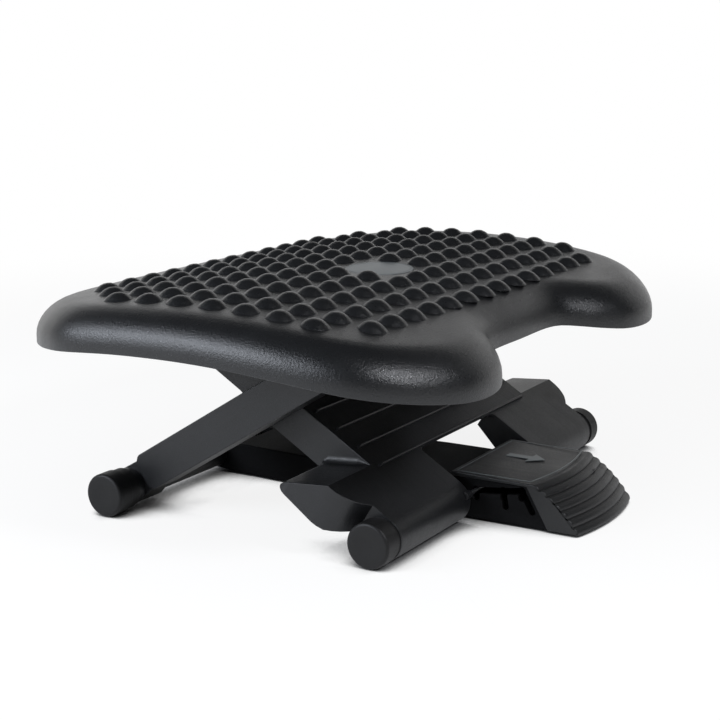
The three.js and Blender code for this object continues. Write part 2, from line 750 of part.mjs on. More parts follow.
function platformShell() {
  const depth = [tiltAxleY - saddleHalfDepth, tiltAxleY + saddleHalfDepth];
  const saddles = [1, -1].map((side) => block(span(side, saddleInnerX, saddleOuterX), depth,
    [saddleUnderside, platformTop - platformWall / 2]));
  const ribs = underRibShares.flatMap((share) => [share, -share])
    .map((share) => underRib(share * platformHalfWidth));
  const seat = prismZ(badgeOutline(badgeSeat).map(([x, y]) => [x, badgeY + y]),
    [crownHeight(badgeY - badgeHalfDepth) - badgeThickness, platformTop + overrun]);
  const axle = barX(tiltAxleRadius + runningGap, [-saddleOuterX - overrun, saddleOuterX + overrun],
    [tiltAxleY, tiltAxleHeight], boreFacets);
  const pilots = [1, -1].flatMap(screwPlacesOn).map((place) => barZ(screwRadius + runningGap,
    [saddleUnderside - overrun, clampUnderside - screwHeadHeight + screwLength + 2 * runningGap], place));
  return cut(join(platformTray(), bumps(), ...saddles, ...ribs), seat, axle, ...pilots);
}

function axleClamp(side) {
  const depth = [tiltAxleY - saddleHalfDepth, tiltAxleY + saddleHalfDepth];
  const axle = barX(tiltAxleRadius + runningGap, span(side, saddleInnerX - overrun, saddleOuterX + overrun),
    [tiltAxleY, tiltAxleHeight], boreFacets);
  const holes = screwPlacesOn(side).map((place) => barZ(screwRadius + runningGap,
    [clampUnderside - overrun, clampTop + overrun], place));
  return cut(block(span(side, saddleInnerX, saddleOuterX), depth, [clampUnderside, clampTop]), axle, ...holes);
}

// A round-headed screw standing on its head's top face at the given place
function screw([x, y], headTop, length) {
  const head = barZ(screwHeadRadius, [headTop - screwHeadHeight, headTop], [x, y]);
  return head.add(barZ(screwRadius, [headTop - screwHeadHeight / 2, headTop + length], [x, y]));
}

// Pedal rail

// Where the latch pin lies when the stand is folded by the given angle
function latchPinAt(fold) {
  const y = rearFootY - 2 * lowerArmLength * Math.cos(pivotAngle - fold);
  const [dy, dz] = [-latchPinAhead, latchPinRise];
  return [
    y + dy * Math.cos(fold) + dz * Math.sin(fold),
    footRadius + dz * Math.cos(fold) - dy * Math.sin(fold),
  ];
}

function railPlan(inset) {
  const front = railHalfWidth - inset;
  const rear = railRearHalfWidth - inset;
  const ends = [tongueEndY - overrun, rearFootY + railRingRadius + overrun];
  return [
    [-front, ends[0]], [front, ends[0]], [front, railTaperStartY], [rear, railTaperEndY], [rear, ends[1]],
    [-rear, ends[1]], [-rear, railTaperEndY], [-front, railTaperStartY],
  ];
}

function pedalRail() {
  const blockStart = rearFootY - railBlockLength;
  const high = railFrontHeight + overrun;
  const outline = [
    [railFrontFootY, railUnderside], [blockStart, railUnderside], [rearFootY, footRadius - railRingRadius],
    [rearFootY, footRadius + railRingRadius], [blockStart, railDeckHeight], [railStepY, railDeckHeight],
    [railStepY, railFrontHeight], [railFrontTopY, railFrontHeight],
  ];
  const full = [-railHalfWidth, railHalfWidth];
  const plan = prismZ(railPlan(0), [-overrun, high]);
  const shell = join(
    prismX(outline, full),
    barX(railRingRadius, full, [rearFootY, footRadius])).intersect(plan);
  const room = prismZ(railPlan(railWall), [-overrun, high]);
  const deckRoom = block(full, [railStepY - railWall - overrun, blockStart - railWall],
    [-overrun, railDeckHeight - railWall]).intersect(room);
  const frontRoom = block(full, [railFrontFootY - overrun, railStepY - railWall], [-overrun, high])
    .intersect(room);
  const webs = railWebYs.map((y) => block(full, [y - railWebLength / 2, y + railWebLength / 2],
    [railUnderside, railUnderside + railWebThickness]).intersect(plan));
  const tongue = block([-tongueHalfWidth, tongueHalfWidth], [tongueEndY, tongueStartY + railWebLength / 2],
    [tongueUnderside, tongueUnderside + railWebThickness]);
  const across = [-railHalfWidth - overrun, railHalfWidth + overrun];
  const folds = Array.from({ length: trackSteps + 1 }, (_, i) => (i * foldRange) / trackSteps);
  const track = folds.slice(1).map((fold, i) => slotX(latchPinAt(folds[i]), latchPinAt(fold),
    trackHalfWidth, across));
  const hooks = hookFoldShares.map((share) => {
    const [y, z] = latchPinAt(share * foldRange);
    return slotX([y, z], [y - hookSlant, z - hookDepth], hookHalfWidth, across);
  });
  const screwHoles = [1, -1].map((side) => barZ(screwRadius + runningGap,
    [-overrun, tongueUnderside + overrun], [side * coverBossX, coverBossY]));
  return cut(join(cut(shell, deckRoom, frontRoom), ...webs, tongue),
    ...track, ...hooks, ...screwHoles,
    barX(rodRadius + runningGap, full, [rearFootY, footRadius], boreFacets),
    block([-springWindowHalfWidth, springWindowHalfWidth], [blockStart, rearFootY + railRingRadius + overrun],
      [-overrun, high]));
}

// The tread's side line from the top plate down to its foot, moved in by a thickness
function treadPoint(share, inset) {
  const start = [treadStartY, coverTop];
  const curve = new THREE.QuadraticBezierCurve(new THREE.Vector2(...start),
    new THREE.Vector2(...treadControl), new THREE.Vector2(treadFootY, railUnderside));
  const point = curve.getPoint(share);
  return [point.x + inset, point.y - inset / 2];
}

// Stepped edge from the top plate to the foot: a riser and a tread for each step
function steppedEdge() {
  const corners = Array.from({ length: treadSteps + 1 }, (_, i) => treadPoint(i / treadSteps, 0));
  return corners.slice(0, -1).flatMap(([y, z], i) => {
    const [nextY, nextZ] = corners[i + 1];
    return [[y, z], [y + (nextY - y) * treadRiserShare, nextZ + (z - nextZ) * treadRiserShare]];
  }).concat([corners[treadSteps]]);
}

// A solid swept across X from [y, z, bow] points; each point moves forward by its bow at the middle
function bowedSweep(points, halfWidth) {
  const flat = points.map(([y, z]) => new THREE.Vector2(y, z));
  const outline = THREE.ShapeUtils.isClockWise(flat) ? points.slice().reverse() : points;
  const count = outline.length;
  const positions = [];
  for (let station = 0; station <= treadStations; station += 1) {
    const share = (2 * station) / treadStations - 1;
    outline.forEach(([y, z, bow]) => positions.push(share * halfWidth, y - bow * (1 - share * share), z));
  }
  const caps = THREE.ShapeUtils.triangulateShape(outline.map(([y, z]) => new THREE.Vector2(y, z)), []);
  const last = treadStations * count;
  const index = caps.flatMap(([a, b, c]) => [a, c, b, last + a, last + b, last + c]);
  for (let station = 0; station < treadStations; station += 1) {
    outline.forEach((_, i) => {
      const a = station * count + i;
      const b = station * count + ((i + 1) % count);
      index.push(a, b, b + count, a, b + count, a + count);
    });
  }
  const geometry = new THREE.BufferGeometry();
  geometry.setAttribute('position', new THREE.BufferAttribute(new Float32Array(positions), 3));
  geometry.setIndex(index);
  return solid(geometry);
}

function pedalCover() {
  const underside = railFrontHeight + runningGap;
  const seam = 2 * runningGap;
  const edge = steppedEdge();
  const outline = [
    [coverRearY, underside + coverThickness, 0], [coverRearY, underside, 0],
    [railFrontTopY - seam, underside, 0], [railFrontFootY - seam, railUnderside, 0],
    ...edge.map(([y, z]) => [y, z, treadBow]).reverse(),
  ];
  const body = bowedSweep(outline, coverHalfWidth);
  const inner = Array.from({ length: treadSteps + 1 }, (_, i) => treadPoint(i / treadSteps, coverWall));
  const hollow = [
    [tongueStartY + overrun, underside - runningGap, 0], [tongueStartY + overrun, -overrun, 0],
    [inner[treadSteps][0], -overrun, treadBow],
    ...inner.filter(([, z]) => z < underside - runningGap).map(([y, z]) => [y, z, treadBow]).reverse(),
    [treadStartY, underside - runningGap, 0],
  ];
  const room = bowedSweep(hollow, railHalfWidth - railWall);
  const tongueTop = tongueUnderside + railWebThickness + runningGap;
  const bosses = [1, -1].map((side) => cut(
    barZ(coverBossRadius, [tongueTop, underside - coverWall], [side * coverBossX, coverBossY]),
    barZ(screwRadius + runningGap, [-overrun, tongueUnderside + screwLength],
      [side * coverBossX, coverBossY])));
  return join(cut(body, room), ...bosses);
}

// Torsion spring wound round the rear foot rod, as one unbroken helix
class HelixCurve extends THREE.Curve {
  constructor(radius, halfLength, turns) {
    super();
    this.radius = radius;
    this.halfLength = halfLength;
    this.turns = turns;
  }

  getPoint(share, target = new THREE.Vector3()) {
    const angle = 2 * Math.PI * this.turns * share;
    return target.set(this.halfLength * (2 * share - 1),
      this.radius * Math.cos(angle), this.radius * Math.sin(angle));
  }
}

function pedalSpring() {
  const halfLength = springWindowHalfWidth - springWire - runningGap;
  const curve = new HelixCurve(springRadius, halfLength, springCurls);
  const section = new THREE.Shape(Array.from({ length: springFacets }, (_, i) => {
    const angle = (2 * Math.PI * i) / springFacets;
    return new THREE.Vector2(springWire * Math.cos(angle), springWire * Math.sin(angle));
  }));
  const geometry = new THREE.ExtrudeGeometry(section,
    { steps: springCurls * springStepsPerCurl, bevelEnabled: false, extrudePath: curve });
  geometry.translate(0, rearFootY, footRadius);
  const pitch = (2 * halfLength) / springCurls;
  console.log(`pedal spring: least gap between curls ${(pitch - 2 * springWire).toFixed(2)} mm`);
  return solid(geometry);
}

// Assembly: the whole stands with the middle of its footprint over the origin
const footrest = new THREE.Group();
footrest.position.y = -(treadFront + platformBack) / 2;

const rearFoot = new THREE.Group();
rearFoot.position.set(0, rearFootY, footRadius);
rearFoot.add(piece('rear_foot_rod', barX(rodRadius, footRodSpan(), [0, 0]), steel));

const rearLeg = new THREE.Group();
rearLeg.position.copy(rearFoot.position);
rearLeg.rotation.x = -legAngle;
rearLeg.add(piece('rear_leg_frame', rearLegFrame(), moulded));

const frontLeg = new THREE.Group();
frontLeg.position.set(0, frontFootY, footRadius);
frontLeg.rotation.x = legAngle;
frontLeg.add(piece('front_leg_frame', frontLegFrame(), moulded));

const carriage = new THREE.Group();
const platform = new THREE.Group();
const pedal = new THREE.Group();

for (const [side, word] of [[1, 'right'], [-1, 'left']]) {
  rearFoot.add(piece(`rear_foot_cap_${word}`, footCap(side, rearCollarOuterX + runningGap), rubber));

  const pin = new THREE.Group();
  pin.position.set(0, -scissorPivot[0], scissorPivot[1]);
  pin.add(piece(`scissor_pin_${word}`, scissorPin(side), steel));
  pin.add(piece(`scissor_bush_${word}`, ring(side, [plateHalfWidth + runningGap, barInnerX - runningGap],
    scissorPinRadius + runningGap, scissorBossRadius), nylon));
  rearLeg.add(pin);

  const rodInner = armInnerX + wall + runningGap;
  frontLeg.add(piece(`front_foot_rod_${word}`, barX(rodRadius, span(side, rodInner, footRodSpan()[1]),
    [0, 0]), steel));
  frontLeg.add(piece(`front_foot_cap_${word}`, footCap(side, frontSleeveOuterX + runningGap), rubber));

  const roller = new THREE.Group();
  roller.position.set(0, ...upperPivot);
  roller.add(piece(`slide_roller_${word}`, ring(side,
    [cheekInnerX - rollerSideGap, cheekOuterX + rollerSideGap],
    slideRodRadius + runningGap, rollerRadius), nylon));
  frontLeg.add(roller);

  carriage.add(piece(`carriage_cheek_${word}`, cheek(side), blackSteel));
  const bush = new THREE.Group();
  bush.position.set(0, tiltAxleY, tiltAxleHeight);
  bush.add(piece(`tilt_bush_${word}`, tiltBush(side), nylon));
  carriage.add(bush);

  platform.add(piece(`axle_clamp_${word}`, axleClamp(side), mouldedDark));
  screwPlacesOn(side).forEach((place, i) => platform.add(piece(`clamp_screw_${word}_${i ? 'front' : 'rear'}`,
    screw(place, clampUnderside - runningGap, screwLength - screwHeadHeight), blackSteel)));

  pedal.add(piece(`cover_screw_${word}`, screw([side * coverBossX, coverBossY],
    tongueUnderside - runningGap, screwLength - screwHeadHeight), blackSteel));

  const clip = new THREE.Group();
  clip.position.set(0, -upperPivot[0], upperPivot[1]);
  clip.add(piece(`upper_rod_clip_${word}`, ring(side,
    [cheekOuterX + runningGap, cheekOuterX + runningGap + clipThickness],
    upperRodRadius + runningGap, clipRadius), blackSteel));
  rearLeg.add(clip);
}

const upperRodEnd = barOuterX - wall - runningGap;
rearLeg.add(piece('upper_hinge_rod', barX(upperRodRadius, [-upperRodEnd, upperRodEnd],
  [-upperPivot[0], upperPivot[1]], boreFacets), steel));

frontLeg.add(piece('slide_rod', barX(slideRodRadius, [-plateHalfWidth, plateHalfWidth], upperPivot,
  boreFacets), steel));
frontLeg.add(piece('latch_pin', barX(latchPinRadius, [-latchPinHalfLength, latchPinHalfLength],
  legPoint([-latchPinAhead, latchPinRise]), smallFacets), steel));

carriage.add(piece('carriage_tie_front', tieBar(-1), blackSteel));
carriage.add(piece('carriage_tie_rear', tieBar(1), blackSteel));

const badge = new THREE.Group();
badge.position.set(0, badgeY, crownHeight(badgeY));
badge.rotation.x = badgeSlope;
badge.add(piece('badge_plate', prismZ(badgeOutline(0), [2 * runningGap - badgeThickness, 0]), badgeFinish));
platform.add(badge);
platform.add(piece('platform_shell', platformShell(), moulded));
platform.add(piece('tilt_axle', barX(tiltAxleRadius, [-saddleOuterX, saddleOuterX],
  [tiltAxleY, tiltAxleHeight], boreFacets), steel));

pedal.add(piece('pedal_rail', pedalRail(), mouldedDark));
pedal.add(piece('pedal_cover', pedalCover(), moulded));
pedal.add(piece('pedal_spring', pedalSpring(), steel));
['front', 'middle', 'rear'].forEach((word, i) => pedal.add(piece(`floor_pad_${word}`,
  block([-padHalfLength, padHalfLength], [railWebYs[i] - padHalfWidth, railWebYs[i] + padHalfWidth],
    [0, padThickness]), rubber)));

footrest.add(rearFoot, rearLeg, frontLeg, carriage, platform, pedal);

export default footrest;
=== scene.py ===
# Looks of a tilting under desk footrest, built round its fixed frame. Metres, +Z up.
# The user sits on the -Y side, where the pedal is. Left and right are the user's.

import math

import bmesh
import bpy
from bpy.props import FloatProperty, FloatVectorProperty, IntProperty, PointerProperty
from mathutils import Matrix, Vector


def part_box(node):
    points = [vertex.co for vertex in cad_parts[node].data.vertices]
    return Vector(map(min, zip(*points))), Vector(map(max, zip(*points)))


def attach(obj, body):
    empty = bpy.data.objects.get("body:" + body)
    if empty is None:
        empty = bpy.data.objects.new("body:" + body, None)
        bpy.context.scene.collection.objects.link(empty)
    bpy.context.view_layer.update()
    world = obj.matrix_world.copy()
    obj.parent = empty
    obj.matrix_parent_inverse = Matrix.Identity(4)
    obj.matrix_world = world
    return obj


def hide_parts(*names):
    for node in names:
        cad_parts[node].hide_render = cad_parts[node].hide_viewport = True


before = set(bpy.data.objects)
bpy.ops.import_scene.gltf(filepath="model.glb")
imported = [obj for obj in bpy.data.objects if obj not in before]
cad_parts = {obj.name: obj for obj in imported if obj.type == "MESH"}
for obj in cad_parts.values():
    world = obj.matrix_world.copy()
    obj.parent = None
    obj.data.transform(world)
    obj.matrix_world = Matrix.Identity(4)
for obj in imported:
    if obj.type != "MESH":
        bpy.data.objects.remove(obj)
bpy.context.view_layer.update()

bl_info = {
    "name": "Under Desk Footrest",
    "version": (1, 0, 0),
    "blender": (4, 5, 0),
    "location": "3D View > Sidebar > Footrest",
    "description": "Builds a tilting under desk footrest with massage bumps round its frame",
    "category": "Add Mesh",
}

# Clearances and cuts
GAP = 0.0003
OVERRUN = 0.005
WALL = 0.003
MERGE = 0.00001

# Roundings and facets
EDGE_ROUND = 0.0008
EDGE_STEPS = 2
SOFT_STEPS = 3
EDGE_ANGLE = math.radians(26)
FLAT_ANGLE = math.radians(0.5)
SHARP_ANGLE = math.radians(34)
CORNER_STEPS = 6
ROUND_FACETS = 72
SMALL_FACETS = 36

SIDES = (("right", 1), ("left", -1))


def middle(node):
    low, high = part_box(node)
    return (low + high) / 2


def outer_x(node):
    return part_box(node)[1].x


def inner_x(node):
    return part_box(node)[0].x


def radius_of(node):
    low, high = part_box(node)
    return (high.z - low.z) / 2


# Stations across the stand, on the right side, read from the frame
PLATE_X = outer_x("slide_rod")
BAR_X = outer_x("scissor_bush_right") + GAP
SLEEVE_X = inner_x("front_foot_cap_right") - GAP
COLLAR_X = inner_x("rear_foot_cap_right") - GAP
CAP_X = outer_x("front_foot_cap_right")
ARM_X = inner_x("front_foot_rod_right") - WALL - GAP
WING_X = outer_x("front_leg_frame")
COVER_X = outer_x("pedal_cover")
RAIL_X = outer_x("pedal_rail")
SADDLE_X = outer_x("tilt_axle")

# Pivots and feet, read from the frame
REAR_FOOT = middle("rear_foot_rod")
FRONT_FOOT = middle("front_foot_rod_right")
CROSSING = middle("scissor_bush_right")
HINGE_ROD = middle("upper_hinge_rod")
SLIDE_ROD = middle("slide_rod")
TILT_AXLE = middle("tilt_axle")
LATCH_PIN = middle("latch_pin")

ROD_RADIUS = radius_of("rear_foot_rod")
HINGE_ROD_RADIUS = radius_of("upper_hinge_rod")
SLIDE_ROD_RADIUS = radius_of("slide_rod")
AXLE_RADIUS = radius_of("tilt_axle")
LATCH_PIN_RADIUS = radius_of("latch_pin")

# Half of the platform's outline from the middle of the front notch round to the middle of the back,
# as shares of the half width and of the half depth about the platform's middle
OUTLINE_SHARES = (
    (0, -0.813), (0.2, -0.815), (0.264, -0.834), (0.323, -0.889), (0.381, -0.95), (0.466, -1.011),
    (0.582, -1.034), (0.688, -1.015), (0.807, -0.94), (0.895, -0.845), (0.951, -0.73), (0.985, -0.524),
    (0.998, -0.2), (1, 0.15), (0.99, 0.404), (0.945, 0.527), (0.882, 0.632), (0.776, 0.764),
    (0.64, 0.88), (0.46, 0.957), (0.24, 0.992), (0, 1),
)

# Bumps in each row from the front, the rows that the badge takes room from, and how many bumps in each
BUMP_ROW_COUNTS = (14, 16, 16, 16, 16, 16, 16, 16, 14, 12)
BADGE_ROWS = (3, 4)
BADGE_BUMPS = 2


def measure(name, description, default):
    """A length that a user may set"""
    return FloatProperty(name=name, description=description, default=default, unit="LENGTH")


def tint(name, description, default):
    """A colour that a user may set"""
    return FloatVectorProperty(name=name, description=description, default=default, subtype="COLOR")


class PlatformSizes(bpy.types.PropertyGroup):
    """Sizes of the platform tray"""

    half_width: measure("Half Width", "Half of the platform's width", 0.22948)
    half_depth: measure("Half Depth", "Half of the platform's depth", 0.182)
    rise: measure("Rise", "Top of the crown above the tilt axle", 0.0155)
    crown_front: measure("Front Crown", "Radius of the crown on the user's side", 0.73)
    crown_back: measure("Back Crown", "Radius of the crown behind the axle", 0.865)
    rim_drop: measure("Rim Drop", "Depth of the rim below the crown", 0.028)
    round_drop: measure("Rounding Drop", "Height of the rim's rounding", 0.022)
    round_inset: measure("Rounding Inset", "Width of the rim's rounding", 0.027)
    wall: measure("Wall", "Thickness of the tray", 0.0035)


class BumpSizes(bpy.types.PropertyGroup):
    """Sizes of the massage bumps and the badge"""

    pitch_x: measure("Pitch Across", "Distance between bumps in a row", 0.025)
    pitch_y: measure("Pitch Along", "Distance between rows", 0.02565)
    radius: measure("Radius", "Radius of a bump with its soft foot", 0.0099)
    height: measure("Height", "Height of a bump", 0.0052)
    softness: FloatProperty(
        name="Softness", description="How softly a bump runs out at its foot", default=1.1)
    roundness: FloatProperty(
        name="Roundness", description="How broad and round a bump's top is", default=2.35)
    sides: IntProperty(name="Sides", description="Facets round a bump", default=12)
    rings: IntProperty(name="Rings", description="Facets from a bump's top to its foot", default=5)
    badge_half_width: measure("Badge Half Width", "Half of the badge's width", 0.029)
    badge_half_depth: measure("Badge Half Depth", "Half of the badge's depth", 0.024)


class StandSizes(bpy.types.PropertyGroup):
    """Sizes of the two crossed legs"""

    lean: FloatProperty(
        name="Lean", description="Climb of each leg at rest", default=math.radians(31.6), subtype="ANGLE")
    foot_radius: measure("Foot Radius", "Radius of the feet", 0.0154)
    bar_width: measure("Bar Width", "Width of a rear leg's side bar", 0.024)
    bar_below: measure("Bar Below", "Side bar below the foot's middle line", 0.0115)
    plate_below: measure("Plate Wall Below", "Plate's side wall below the middle line", 0.012)
    plate_start: measure("Plate Start", "Front edge of the ribbed plate from the foot", 0.0386)
    plate_end: measure("Plate End", "Top edge of the ribbed plate from the foot", 0.14)
    wing_length: measure("Wing Length", "Tip of a side wing from the foot", 0.074)
    ridge_count: IntProperty(name="Ridges", description="Ridges across the plate", default=5)
    ridge_start: measure("First Ridge", "First ridge from the foot", 0.0398)
    ridge_pitch: measure("Ridge Pitch", "Distance between ridges", 0.01945)
    ridge_height: measure("Ridge Height", "Ridge above the plate", 0.0024)
    ridge_thickness: measure("Ridge Thickness", "Thickness of a ridge", 0.0016)


class PedalSizes(bpy.types.PropertyGroup):
    """Sizes of the pedal rail and its cover"""

    deck_height: measure("Deck Height", "Top of the rail's deck", 0.024)
    front_height: measure("Front Height", "Top of the rail under the cover", 0.0295)
    rail_wall: measure("Rail Wall", "Thickness of the rail's walls", 0.0035)
    cover_thickness: measure("Cover Thickness", "Thickness of the cover's top", 0.0032)
    tread_bow: measure("Tread Bow", "How far the tread's middle bows out", 0.0065)
    tread_steps: IntProperty(name="Tread Ridges", description="Rounded ridges on the tread", default=7)
    tread_depth: measure("Ridge Depth", "Depth of the grooves between ridges", 0.0014)
    fold_range: FloatProperty(
        name="Fold Range", description="Turn of a leg from the highest to the lowest height",
        default=math.radians(19.5), subtype="ANGLE")


class Finishes(bpy.types.PropertyGroup):
    """Colours of the finishes"""

    platform: tint("Platform", "Moulded plastic of the platform", (0.0055, 0.006, 0.0068))
    leg: tint("Legs", "Moulded plastic of the legs", (0.0036, 0.0039, 0.0046))
    rail: tint("Rail", "Moulded plastic of the pedal rail", (0.0036, 0.0037, 0.004))
    pedal: tint("Pedal", "Moulded plastic of the pedal cover", (0.0055, 0.0058, 0.0062))
    badge: tint("Badge", "Satin plastic of the badge", (0.075, 0.085, 0.088))
    rubber: tint("Rubber", "Rubber of the feet", (0.0048, 0.0047, 0.0049))
    pad: tint("Pads", "Rubber of the floor pads", (0.01, 0.01, 0.011))
    nylon: tint("Nylon", "Bushes and rollers", (0.025, 0.026, 0.028))
    steel: tint("Steel", "Bright steel rods and pins", (0.55, 0.56, 0.57))
    black_steel: tint("Black Steel", "Black coated steel", (0.02, 0.02, 0.022))


# Mesh building

def link(name, mesh):
    made = bpy.data.objects.new(name, mesh)
    bpy.context.scene.collection.objects.link(made)
    return made


def from_bmesh(name, bm):
    bmesh.ops.recalc_face_normals(bm, faces=bm.faces)
    mesh = bpy.data.meshes.new(name)
    bm.to_mesh(mesh)
    bm.free()
    return link(name, mesh)


def baked(piece):
    """The piece with its modifiers turned into plain mesh"""
    graph = bpy.context.evaluated_depsgraph_get()
    mesh = bpy.data.meshes.new_from_object(piece.evaluated_get(graph), depsgraph=graph)
    piece.modifiers.clear()
    old = piece.data
    piece.data = mesh
    bpy.data.meshes.remove(old)
    if not mesh.polygons:
        raise RuntimeError(f"{piece.name} came out empty")
    return piece


def combined(body, others, operation="UNION"):
    """Joins, cuts or trims one solid by others, which are used up"""
    for other in others:
        step = body.modifiers.new("step", "BOOLEAN")
        step.operation = operation
        step.solver = "MANIFOLD"
        step.object = other
    baked(body)
    for other in others:
        mesh = other.data
        bpy.data.objects.remove(other)
        bpy.data.meshes.remove(mesh)
    return body


def join(body, *others):
    return combined(body, others)


def cut(body, *cutters):
    return combined(body, cutters, "DIFFERENCE")


def across(a, b, c):
    """Outline in Y and Z, drawn out along X"""
    return Vector((c, a, b))


def upward(a, b, c):
    """Outline in X and Y, drawn out along Z"""
    return Vector((a, b, c))


def full_turn(facets):
    return [2 * math.pi * i / facets for i in range(facets)]


def prism(outline, span, place=across, rounding=0, chosen=None):
    """A closed prism of an outline over a span, with its edges rounded where chosen"""
    bm = bmesh.new()
    low, high = ([bm.verts.new(place(a, b, c)) for a, b in outline] for c in span)
    bm.faces.new(low)
    bm.faces.new(high)
    for i, start in enumerate(low):
        j = (i + 1) % len(low)
        bm.faces.new((start, low[j], high[j], high[i]))
    bmesh.ops.recalc_face_normals(bm, faces=bm.faces)
    if rounding:
        edges = [e for e in bm.edges if e.calc_face_angle(0) > EDGE_ANGLE
                 and (chosen is None or chosen((e.verts[0].co + e.verts[1].co) / 2))]
        bmesh.ops.bevel(bm, geom=edges, offset=rounding, segments=EDGE_STEPS, profile=0.5,
                        affect="EDGES", clamp_overlap=True)
    return from_bmesh("prism", bm)


def block(x_span, y_span, z_span):
    (y0, y1), (z0, z1) = y_span, z_span
    return prism([(y0, z0), (y1, z0), (y1, z1), (y0, z1)], x_span)


def turned(profile, axis, side=1, facets=ROUND_FACETS, closed=False):
    """A piece turned about a line along X from (x, radius) points, which end on the axis or close"""
    bm = bmesh.new()
    rings = []
    for x, radius in profile:
        if radius < MERGE:
            rings.append([bm.verts.new((side * x, axis.y, axis.z))])
            continue
        rings.append([bm.verts.new((side * x, axis.y + radius * math.cos(t), axis.z + radius * math.sin(t)))
                      for t in full_turn(facets)])
    pairs = list(zip(rings, rings[1:])) + ([(rings[-1], rings[0])] if closed else [])
    for first, second in pairs:
        if len(first) == len(second) == 1:
            continue
        for i in range(facets):
            j = (i + 1) % facets
            corners = [first[i % len(first)], first[j % len(first)], second[j % len(second)],
                       second[i % len(second)]]
            bm.faces.new(list(dict.fromkeys(corners)))
    return from_bmesh("turned", bm)


def bar(radius, span, axis, rounding=0, facets=ROUND_FACETS):
    """A round bar along X with rounded ends"""
    low, high = sorted(span)
    arcs = [rounding * (1 - math.cos(math.pi / 2 * i / EDGE_STEPS)) for i in range(EDGE_STEPS + 1)]
    drops = [rounding * (1 - math.sin(math.pi / 2 * i / EDGE_STEPS)) for i in range(EDGE_STEPS + 1)]
    start = [(low + a, radius - d) for a, d in zip(arcs, drops)] if rounding else [(low, radius)]
    end = [(high - a, radius - d) for a, d in zip(arcs, drops)][::-1] if rounding else [(high, radius)]
    return turned([(low, 0)] + start + end + [(high, 0)], axis, facets=facets)


def tube(radius, bore, span, axis, rounding=0):
    low, high = sorted(span)
    profile = rounded([(low, bore, rounding), (low, radius, rounding), (high, radius, rounding),
                       (high, bore, rounding)], EDGE_STEPS)
    return turned(profile, axis, closed=True)


def upright(radius, span, x, y):
    """A round cutter or post along Z"""
    outline = [(x + radius * math.cos(t), y + radius * math.sin(t)) for t in full_turn(SMALL_FACETS)]
    return prism(outline, span, upward)


def rounded(corners, steps=CORNER_STEPS):
    """An outline with each (a, b, radius) corner drawn as an arc"""
    outline = []
    count = len(corners)
    for i, (a, b, radius) in enumerate(corners):
        here = Vector((a, b))
        before = Vector(corners[i - 1][:2]) - here
        after = Vector(corners[(i + 1) % count][:2]) - here
        turn = before.angle(after)
        if radius <= 0 or turn > math.pi - EDGE_ANGLE / 4:
            outline.append((a, b))
            continue
        reach = min(radius / math.tan(turn / 2), before.length / 2, after.length / 2)
        start, end = here + before.normalized() * reach, here + after.normalized() * reach
        centre = here + (before.normalized() + after.normalized()).normalized() * (reach / math.cos(turn / 2))
        first, last = start - centre, end - centre
        sweep = first.angle_signed(last)
        for k in range(steps + 1):
            arm = first.copy()
            arm.rotate(Matrix.Rotation(-sweep * k / steps, 2))
            outline.append(tuple(centre + arm))
    return outline


def soften(body, width, chosen, merge=GAP):
    """Rounds the chosen edges of a plain cut body, once its shortest edges are merged away"""
    bm = bmesh.new()
    bm.from_mesh(body.data)
    bmesh.ops.remove_doubles(bm, verts=bm.verts, dist=merge)
    bmesh.ops.dissolve_limit(bm, angle_limit=FLAT_ANGLE, verts=bm.verts, edges=bm.edges)
    edges = [e for e in bm.edges if e.calc_face_angle(0) > EDGE_ANGLE
             and chosen((e.verts[0].co + e.verts[1].co) / 2)]
    bmesh.ops.bevel(bm, geom=edges, offset=width, segments=SOFT_STEPS, profile=0.5,
                    affect="EDGES", clamp_overlap=True)
    bm.to_mesh(body.data)
    bm.free()


def span_on(side, inner, outer):
    """The two ends of a span on one side of the middle plane, lowest first"""
    return (inner, outer) if side > 0 else (-outer, -inner)


def finish_piece(piece, name, body, slot, nodes=(), sharp=SHARP_ANGLE, weighed=True):
    """Names, smooths and paints a piece, and puts it on its body in place of CAD nodes"""
    bm = bmesh.new()
    bm.from_mesh(piece.data)
    bmesh.ops.remove_doubles(bm, verts=bm.verts, dist=MERGE)
    bmesh.ops.dissolve_degenerate(bm, edges=bm.edges, dist=MERGE)
    bm.to_mesh(piece.data)
    bm.free()
    mesh = piece.data
    mesh.materials.clear()
    mesh.materials.append(finish_for(slot))
    mesh.polygons.foreach_set("use_smooth", [True] * len(mesh.polygons))
    mesh.polygons.foreach_set("material_index", [0] * len(mesh.polygons))
    mesh.set_sharp_from_angle(angle=sharp)
    piece.name = name
    if weighed:
        weigh = piece.modifiers.new("weigh", "WEIGHTED_NORMAL")
        weigh.keep_sharp = True
        baked(piece)
    piece.data.name = name
    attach(piece, body)
    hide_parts(*nodes)


class Leg:
    """A leg's own axes in the YZ plane: s climbs from its foot and n is square to it"""

    def __init__(self, foot, way, lean):
        self.foot, self.way = foot, way
        self.sine, self.cosine = math.sin(lean), math.cos(lean)

    def point(self, s, n):
        return (self.foot.y + self.way * (s * self.cosine - n * self.sine),
                self.foot.z + s * self.sine + n * self.cosine)

    def points(self, outline):
        return [self.point(s, n) for s, n in outline]

    def corners(self, outline, steps=CORNER_STEPS):
        return rounded([(*self.point(s, n), radius) for s, n, radius in outline], steps)

    def own(self, place):
        """A place in the leg's own axes"""
        y, z = self.way * (place.y - self.foot.y), place.z - self.foot.z
        return y * self.cosine + z * self.sine, z * self.cosine - y * self.sine

    def plan(self, x, s, n):
        """Outline across X and up the leg, drawn out square to it"""
        return Vector((x, *self.point(s, n)))


# Node trees

